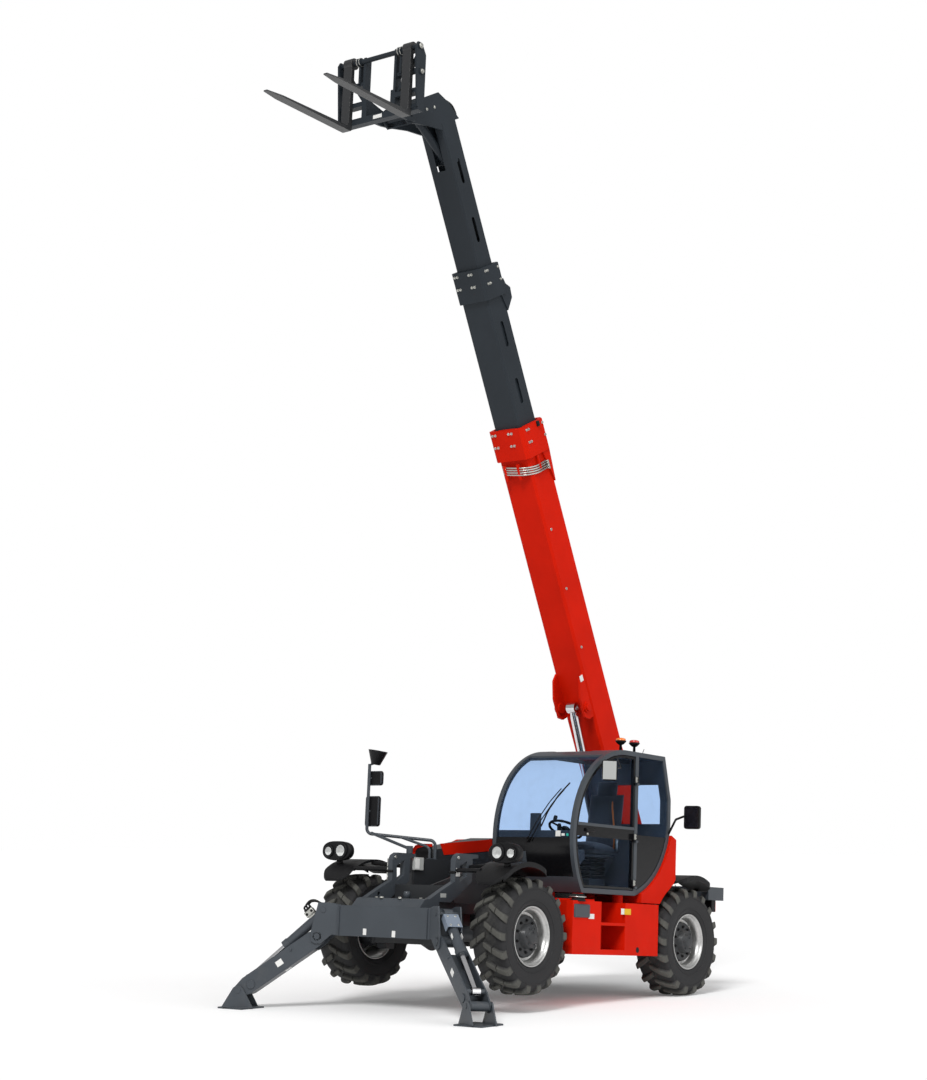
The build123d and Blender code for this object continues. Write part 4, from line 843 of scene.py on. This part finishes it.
def boomOuterDetails(settings):
    shape = Shape()
    collarBolts(shape, boomSettings["outer"], boomSettings["outerWall"], 2)
    half, low = settings["half"], settings["low"]
    # blank plate by the lift bracket
    shape.box((2090, 193, -330), (2160, 196, -268), 1, 1)
    for face in (-1, 1):
        shape.lathe(settings["bracketCap"], 28, outward(*settings["bracketAt"], face), 0)
        for s in settings["sideBolts"]:
            shape.bolt((s, face * half, -160), (0, face, 0), 22, 10, 2)
    # pipes that run up the left side and round the mouth's underside
    for n in range(settings["pipes"]):
        back, lift = n * settings["pipeStep"], low - 50 - n * 3
        shape.tube([
            (4590 - back, 214, 60), (4590 - back, 222, -180), (4610 - back, 150, lift),
            (4640 - back, -120, lift), (4650 - back, -205, -200), (4650 - back, -222, -60)], 9, 10, 3, 60)
        shape.rod((4582 - back, 196, 60), (4582 - back, 236, 60), 14, 12, 3)
    # dark fitting on the collar, and the clamps of the pipes
    shape.rod((4992, 234, 40), (5052, 234, 40), 24, 16, 4, 4)
    shape.box((4540, 196, -110), (4700, 232, -80), 4, 0)
    for y in (60, -120):
        shape.box((4480, y, low - 66), (4660, y + 30, low - 34), 4, 0)
    return shape


def boomMiddleDetails():
    shape = Shape()
    collarBolts(shape, boomSettings["middle"], boomSettings["middleWall"], 1)
    return shape


def boomInnerDetails(settings):
    shape = Shape()
    x, y, z = settings["headAt"]
    for face in (-1, 1):
        shape.lathe(settings["headCap"], 36, outward(x, y, z, face), 0)
        for turn in turnsOf(settings["capBolts"]):
            spot = Vector((x, 0, z)) + around(settings["capCircle"], turn, face * (y + 10))
            shape.bolt(spot, (0, face, 0), 13, 7, 1, False)
        for h in settings["sideBolts"]:
            shape.bolt((8640, face * 153, h), (0, face, 0), 22, 10, 1)
        # hose tails over the head
        shape.rod((8500, face * 60, 150), (8500, face * 60, 190), 13, 12, 1)
        shape.rod((8560, face * 60, 100), (8590, face * 60, 150), 13, 12, 1)
        shape.tube([
            (8500, face * 60, 186), (8500, face * 60, 232), (8610, face * 70, 190), (8690, face * 80, 60),
            (8700, face * 80, -120)], 11, 12, 2, 60)
    return shape


boomOuterDetails(outerSettings).piece(
    "boomOuterFittings", boomLine, "boom_outer", ["red", "label", "zinc", "zinc", "black"])
boomMiddleDetails().piece("boomMiddleFittings", boomLine, "boom_middle", ["boomGrey", "zinc"])
boomInnerDetails(innerSettings).piece(
    "boomInnerFittings", boomLine, "boom_inner", ["boomGrey", "zinc", "rubber"])


# level with the machine; Y from the boom's middle plane
carriageSettings = dict(shaft=(2790, 9590), collars=(262, 298), barBolts=(8935, 9130))


def carriageDetails(settings):
    shape = Shape()
    x, z = settings["shaft"]
    for face in (-1, 1):
        for y in settings["collars"]:
            shape.lathe([(-5, 46), (5, 46)], 28, moved(x, face * y, z), 1)
        shape.bolt((2760, face * 559, 9320), (0, face, 0), 34, 16, 1)
        shape.bolt((x, face * 556, z), (0, face, 0), 40, 14, 1)
        for low in settings["barBolts"]:
            shape.bolt((x, face * 470, low), (1, 0, 0), 24, 12, 0)
    shape.box((2791, -60, 8915), (2794, 60, 8955), 1, 2)
    return shape


carriageDetails(carriageSettings).piece(
    "carriageFittings", carriageLine, "carriage", ["boomGrey", "zinc", "label"])
print("boom dressed")


cabSettings = dict(
    seatAt=(-320, 615), cushion=(470, 440, 130), back=(640, 430, 120), headrest=(170, 250, 90),
    steps=(36, 28), seam=0.035,
)


def padShape(size, swell, sections):
    # a crowned pad whose sides pull in, with sewn channels across it
    wide, deep, thick = size
    shape = Shape()
    stepsX, stepsY = cabSettings["steps"]

    def height(u, v):
        edge = (1 - abs(u) ** 4) ** 0.45 * (1 - abs(v) ** 4) ** 0.45
        seam = 1.0
        for line in sections:
            seam -= 0.10 * math.exp(-((v - line) / cabSettings["seam"]) ** 2) * (1 if abs(u) < 0.9 else 0)
        for line in (-0.62, 0.62):
            seam -= 0.09 * math.exp(-((u - line) / cabSettings["seam"]) ** 2)
        return thick / 2 * edge * (1 + swell * (1 - u * u) * (1 - v * v)) * seam

    for sign, share in ((1, 1), (-1, 0.7)):
        grid = []
        for i in range(stepsX + 1):
            u = math.sin(math.pi / 2 * (2 * i / stepsX - 1))
            row = []
            for j in range(stepsY + 1):
                v = math.sin(math.pi / 2 * (2 * j / stepsY - 1))
                pull = 1 - 0.025 * (1 - v * v) * (abs(u) > 0.99)
                place = (u * wide / 2 * pull, v * deep / 2, sign * height(u, v) * share)
                row.append(shape.mesh.verts.new(place))
            grid.append(row)
        for i in range(stepsX):
            for j in range(stepsY):
                shape.face((grid[i][j], grid[i + 1][j], grid[i + 1][j + 1], grid[i][j + 1]), 0, True)
    bmesh.ops.remove_doubles(shape.mesh, verts=shape.mesh.verts, dist=0.5)
    return shape


def seatParts(settings):
    x, y = settings["seatAt"]
    lean = turned(-8, "Y") @ turned(90, "Y")
    for name, size, swell, sections, place, replaced, fill in (
        ("seatCushion", "cushion", 0.25, (-0.25, 0.25), moved(x, y, 1510) @ turned(-4, "Y"), ["seat"], 0.75),
        ("seatBack", "back", 0.3, (-0.3, 0.3), moved(-585, y, 1800) @ lean, (), 0.75),
        ("seatHeadrest", "headrest", 0.3, (), moved(-628, y, 2172) @ lean, (), 0.8),
    ):
        pad = padShape(settings[size], swell, sections)
        pad = pad.piece(name, machineLine @ place, "root", ["cloth"], replaced, "seat_cloth")
    base = Shape()
    base.box((x - 200, y - 190, 1425), (x + 170, y + 190, 1452), 8, 0)
    # bellows of the sprung base
    for n in range(5):
        inset, low = n % 2 * 8, 1200 + n * 45
        base.box(
            (x - 130 + inset, y - 120 + inset, low), (x + 150 - inset, y + 120 - inset, low + 40), 10, 1)
    base.box((x - 110, y - 130, 1082), (x + 180, y + 130, 1200), 8, 0)
    for aside in (-60, 60):
        base.rod((-612, y + aside, 2080), (-622, y + aside, 2120), 8, 12, 2)
    # arm rest, then the console with its joystick
    base.box((-500, y + 232, 1645), (-200, y + 282, 1690), 14, 0)
    base.tube([(-460, y + 255, 1500), (-455, y + 255, 1650)], 14, 12, 2)
    base.box((-250, y - 300, 1560), (-60, y - 235, 1610), 16, 0)
    base.box((-250, y - 290, 1240), (-100, y - 245, 1565), 10, 0)
    base.tube([(-120, y - 268, 1605), (-112, y - 268, 1660), (-120, y - 268, 1700)], 9, 12, 1)
    knob = [(0, 12), (16, 22), (60, 24), (84, 18), (90, 8)]
    base.lathe(knob, 20, moved(-120, y - 268, 1690) @ turned(90, "X"), 1)
    base.piece("seatBase", machineLine, "root", ["dashGrey", "soot", "zinc"])
    belt = Shape()
    line = [(-470, y + 205, 1500), (-500, y + 190, 1700), (-545, y + 120, 2000), (-600, y + 100, 2080)]
    belt.tube(line, 9, 8, 0, 60)
    belt.piece("seatBelt", machineLine, "root", ["orange"])


controlSettings = dict(
    wheelAt=(130, 610, 1700), wheelLean=-28, wheelRadius=178, gripSteps=64,
    boss=[(-24, 26), (-16, 44), (12, 48), (22, 38), (25, 10)],
    knobAt=(150, 0, 60), knob=[(20, 16), (28, 18), (56, 22), (72, 20), (78, 8)],
    column=[(0, 60), (40, 52), (160, 40), (220, 46), (228, 30)],
    columnFrom=(250, 610, 1470), columnTo=(138, 610, 1686),
)


def controls(settings):
    wheel = Shape()
    rings = []
    for turn in turnsOf(settings["gripSteps"]):
        grip = 14 + 1.2 * math.sin(turn * 16)
        out = Vector((math.cos(turn), 0, math.sin(turn)))
        rings.append([
            out * (settings["wheelRadius"] + grip * math.cos(lean)) + Vector((0, grip * math.sin(lean), 0))
            for lean in turnsOf(10)])
    rings.append(rings[0])
    wheel.rings(rings, 0, caps=False)
    wheel.lathe(settings["boss"], 32)
    for turn in (90, 210, 330):
        spoke = turned(turn, "Y", 3)
        middle, half = spoke @ Vector((105, -2, 0)), Vector((75, 6, 15))
        wheel.box(middle - half, middle + half, 5, 0, spoke)
    wheel.lathe(settings["knob"], 20, moved(*settings["knobAt"]))
    bmesh.ops.remove_doubles(wheel.mesh, verts=wheel.mesh.verts, dist=0.01)
    line = machineLine @ moved(*settings["wheelAt"]) @ turned(settings["wheelLean"], "Y") @ turned(90, "X")
    wheel.piece("steeringWheel", line, "root", ["soot"], ["steering_wheel"])
    column = Shape()
    column.lathe(settings["column"], 28, lineBetween(settings["columnFrom"], settings["columnTo"]))
    for side in (-1, 1):
        y = settings["wheelAt"][1]
        column.tube([
            (190, y + side * 50, 1640), (180, y + side * 140, 1668), (176, y + side * 170, 1676)], 7, 10)
    column.box((300, 560, 1488), (400, 660, 1560), 12, 1)
    # screen beside the wheel, on its stalk
    column.box((330, 300, 1590), (352, 440, 1860), 10, 1)
    column.box((326, 314, 1620), (331, 426, 1846), 2, 0)
    column.tube([(341, 370, 1300), (341, 370, 1600)], 14, 12, 0)
    for n in range(6):
        column.box((205, 510 + n * 58, 1484), (225, 546 + n * 58, 1500), 4, 0)
    column.box((182, 560, 1400), (196, 660, 1470), 4, 2)
    # pedals
    for y in (560, 690):
        column.box((60, y, 1110), (150, y + 70, 1124), 4, 0, turned(-35, "Y", 3))
        column.tube([(130, y + 35, 1140), (220, y + 35, 1240)], 9, 10, 0)
    column.piece("cabControls", machineLine, "root", ["soot", "dashGrey", "mirror"])


outsideSettings = dict(
    bladeAt=(515, 1556), arms=((0, 0), (38, -12)), lampsY=(210, 950),
    aerialAt=(-960, 840, 2556), aerial=[(-6, 26), (8, 24), (12, 10)],
)


def cabOutside(settings):
    shape = Shape()
    # wiper of the windscreen: boss on the black panel, twin arm and blade up the glass
    y, z = settings["bladeAt"]
    shape.rod((664, y, z - 4), (694, y, z - 4), 18, 16, 0)
    for aside, lift in settings["arms"]:
        shape.tube([
            (688, y + aside, z + lift), (686, y + 125 + aside, z + 204 + lift),
            (634, y + 245 + aside, z + 404 + lift), (562, y + 335 + aside, z + 544 + lift)], 6, 8, 0, 40)
    shape.tube([(680, 690, 1700), (664, 760, 1860), (606, 850, 2030), (524, 930, 2160)], 8, 8, 0, 40)
    # blank plates low on the glass, a small teal dot beside them and a dark band behind it
    shape.box((656, 862, 1600), (660.5, 925, 1660), 1.5, 2)
    shape.box((656, 936, 1606), (660.5, 978, 1632), 1.5, 2)
    shape.rod((656, 1012, 1618), (660.5, 1012, 1618), 15, 24, 3, 0.5)
    shape.box((628, 112, 1584), (640, 1048, 1664), 4, 4)
    # lamp pods at the roof's back, and a small aerial
    for y in settings["lampsY"]:
        shape.box((-1085, y - 60, 2440), (-1030, y + 60, 2510), 8, 0)
    shape.lathe(settings["aerial"], 20, moved(*settings["aerialAt"]) @ turned(90, "X"))
    shape.tube([(-960, 840, 2560), (-960, 840, 2600), (-985, 840, 2640)], 3.5, 8, 0, 10)
    return shape


doorSettings = dict(
    hinges=(1170, 1655, 2260), mirrorAt=(200, 1200, 2311), mirrorTurn=38,
    mirrorMiddle=(22.5, 0, 0), mirrorHalf=(1.5, 70, 95),
)


def doorDetails(settings):
    shape = Shape()
    # light rail over the black band, handle and its lock
    shape.box((-440, 1094, 1724), (598, 1101, 1755), 3, 0)
    shape.box((322, 1094, 1662), (462, 1122, 1700), 9, 1)
    shape.rod((430, 1094, 1640), (430, 1110, 1640), 13, 18, 2)
    for z in settings["hinges"]:
        shape.box((-452, 1095, z - 30), (-408, 1130, z + 28), 4, 2)
        for lift in (-16, 14):
            shape.bolt((-430, 1129, z + lift), (0, 1, 0), 13, 7, 2, False)
    # glass of the door's mirror, in flat pale grey plastic: painted reflection, a pale face standing in for
    # what the mirror shows; and the joint of its arm
    turn, half = turned(settings["mirrorTurn"], "Z", 3), Vector(settings["mirrorHalf"])
    middle = Vector(settings["mirrorAt"]) + turn @ Vector(settings["mirrorMiddle"])
    shape.box(middle - half, middle + half, 0, 3, turn)
    shape.rod((40, 1170, 2342), (90, 1180, 2336), 14, 16, 2)
    return shape


seatParts(cabSettings)
controls(controlSettings)
cabOutside(outsideSettings).piece(
    "cabFittings", machineLine, "root", ["black", "zinc", "label", "teal", "dashGrey"])
doorDetails(doorSettings).piece("doorFittings", machineLine, "door", ["grey", "black", "zinc", "paleGrey"])
print("cab dressed")


lampSettings = dict(
    lenses=((1024, 1378, 78), (1190, 1372, 58)), lensX=1840,
    podAt=(1096, 1376), podHalf=(194, 101), podSteps=40,
    podRings=(
        (1720, 0.35), (1725, 0.62), (1742, 0.85), (1770, 0.97), (1812, 1.0), (1838, 0.985), (1844, 0.95)),
)
beaconSettings = dict(
    stands=(("amber", -526, "amber"), ("red", -790, "redLens")), place=(840, 2560),
    foot=[(-20, 17), (86, 14), (91, 26), (96, 34), (112, 50), (120, 58), (131, 60), (134, 56)],
    dome=[(130, 52), (135, 54), (146, 54), (155, 49), (160, 38), (163, 20), (164, 3)],
)
mirrorSettings = dict(
    # y, z, width and height of the two glasses; x, growth, bevel and finish of a glass and its back
    glasses=((-1026, 2165, 162, 122), (-1042, 1816, 150, 290)),
    glass=((1319, 1322.5), 0, 1.5, 0), back=((1323, 1367), 32, 16, 2),
    bowlAt=(1355, -1010, 2380), bowlLean=80,
    bowl=[(-71, 20), (-72, 46), (-68, 50), (71, 102.5), (77, 104), (78, 98), (60, 88), (10, 60), (-30, 20)],
    leftAt=(-1110, 1402, 1902), leftTurn=8, leftMiddle=(22, 0, 0), leftHalf=(2, 76, 110),
)
tailSettings = dict(middle=875, ribs=9, ribStep=22)


def lampLenses(settings):
    shape = Shape()
    for side in (-1, 1):
        for y, z, radius in settings["lenses"]:
            line = moved(settings["lensX"], side * y, z) @ turned(-90, "Z")
            shape.lathe([(-4, radius + 6), (16, radius + 6), (20, radius + 1)], 40, line, 0)
            shape.lathe([(8, radius), (17, radius * 0.93), (22, radius * 0.6), (24, 4)], 40, line, 1)
    return shape


def headlampPods(settings):
    # rounded housings over the two lenses of each side, on stems down to the fenders
    shape = Shape()
    y, z = settings["podAt"]
    for side in (-1, 1):
        rings = []
        for depth, grow in settings["podRings"]:
            wide, high = [half * grow for half in settings["podHalf"]]
            rings.append([(
                depth,
                side * y + wide * math.copysign(abs(math.cos(turn)) ** 0.75, math.cos(turn)),
                z + high * math.copysign(abs(math.sin(turn)) ** 0.85, math.sin(turn)),
            ) for turn in turnsOf(settings["podSteps"])])
        shape.rings(rings, 0)
        shape.tube([(1775, side * y, 1290), (1770, side * y, 1236)], 34, 20, 0)
    return shape


def beaconParts(settings):
    for name, x, lens in settings["stands"]:
        shape = Shape()
        line = moved(x, *settings["place"]) @ turned(90, "X")
        shape.lathe(settings["foot"], 32, line, 1)
        shape.lathe(settings["dome"], 32, line, 0)
        shape.piece(f"beacon_{name}", machineLine, "root", [lens, "black"], ["beacons"])


def mirrorFaces(settings):
    shape = Shape()
    for (front, back), grow, bevel, slot in (settings["glass"], settings["back"]):
        for y, z, wide, high in settings["glasses"]:
            halfY, halfZ = (wide + grow) / 2, (high + grow) / 2
            shape.box((front, y - halfY, z - halfZ), (back, y + halfY, z + halfZ), bevel, slot)
    bowl = moved(*settings["bowlAt"]) @ turned(settings["bowlLean"], "X")
    shape.lathe(settings["bowl"], 40, bowl, 2)
    # the left mirror's glass takes the dark reddish finish, a painted reflection in place of a true mirror
    turn, half = turned(settings["leftTurn"], "Z", 3), Vector(settings["leftHalf"])
    middle = Vector(settings["leftAt"]) + turn @ Vector(settings["leftMiddle"])
    shape.box(middle - half, middle + half, 1.5, 1, turn)
    return shape


def tailLenses(settings):
    # red lenses that lap the outer side of each dark lamp housing
    shape = Shape()
    for side in (-1, 1):
        y = side * settings["middle"]
        shape.box((-2306, y - 106, 922), (-2296, y + 106, 1038), 4, 0)
        for n in range(settings["ribs"]):
            start = y - 98 + n * settings["ribStep"]
            shape.box((-2309, start, 930), (-2304, start + 14, 1030), 2, 0)
    return shape


bodySizes = dict(
    hoodStrip=[(946, 1501), (49, 1594), (38, 1469), (871, 1385)],
    archOuter=[(-716, 1322), (-716, 1440), (-680, 1478), (-600, 1494), (-452, 1494)],
    archInner=[(-452, 1462), (-590, 1460), (-650, 1446), (-682, 1414), (-684, 1322)],
    mountAt=(612, 1130, 953),
    mount=[(-6, 80), (10, 84), (16, 74), (28, 70), (34, 84), (46, 88), (52, 76), (62, 72), (70, 56)],
    mountBand=[(33, 85), (36, 90), (42, 90), (45, 85)],
    labels=((380, 480, 775, 826, 4), (-168, -112, 835, 896, 4), (-292, -172, 835, 896, 5)),
    panelBolts=((-1270, 1180), (-1270, 1330), (-1270, 1480), (-1420, 1180), (-1210, 1560), (-1350, 1600)),
)


def bodyDetails(settings):
    # fittings of the body: hood strip, its nose, the bracket and mount ahead of the steps
    shape = Shape()
    inner = settings["archInner"]
    # the nose is an arch whose opening is filled by a flat black plate: painted shade for the dark hollow
    # inside it
    shape.prism(settings["hoodStrip"], (-431, -425), "xz")
    shape.prism(settings["archOuter"] + inner, (1043, 1049), "yz")
    shape.prism(inner[::-1] + [(-452, 1322)], (1042, 1046), "yz", 1)
    shape.box((470, 1100, 784), (742, 1196, 921), 14, 2)
    line = moved(*settings["mountAt"]) @ turned(90, "X")
    shape.lathe(settings["mount"], 40, line, 1)
    shape.lathe(settings["mountBand"], 40, line, 3, caps=False)
    for back, front, low, high, slot in settings["labels"]:
        shape.box((back, 1178, low), (front, 1182.5, high), 1, slot)
    # drain hole of the lower step, drawn as a flat black disc: painted shade for the dark inside of the hole
    shape.rod((-434, 1176, 474), (-434, 1182, 474), 30, 28, 1, 1)
    for x, z in settings["panelBolts"]:
        shape.bolt((x, 999, z), (0, 1, 0), 15, 7, 3, False)
    return shape


bodyDetails(bodySizes).piece(
    "bodyFittings", machineLine, "root", ["red", "soot", "grey", "zinc", "label", "yellow"])
tailLenses(tailSettings).piece("tailLenses", machineLine, "root", ["redLens"])
lampLenses(lampSettings).piece("headlampLenses", machineLine, "root", ["black", "lens"])
headlampPods(lampSettings).piece("headlampPods", machineLine, "root", ["black", "grey"], ["headlamps"])
beaconParts(beaconSettings)
mirrorFaces(mirrorSettings).piece("mirrorFaces", machineLine, "root", ["mirror", "mirrorPaintedReflection", "black"])
print("lamps dressed")

bpy.context.view_layer.update()
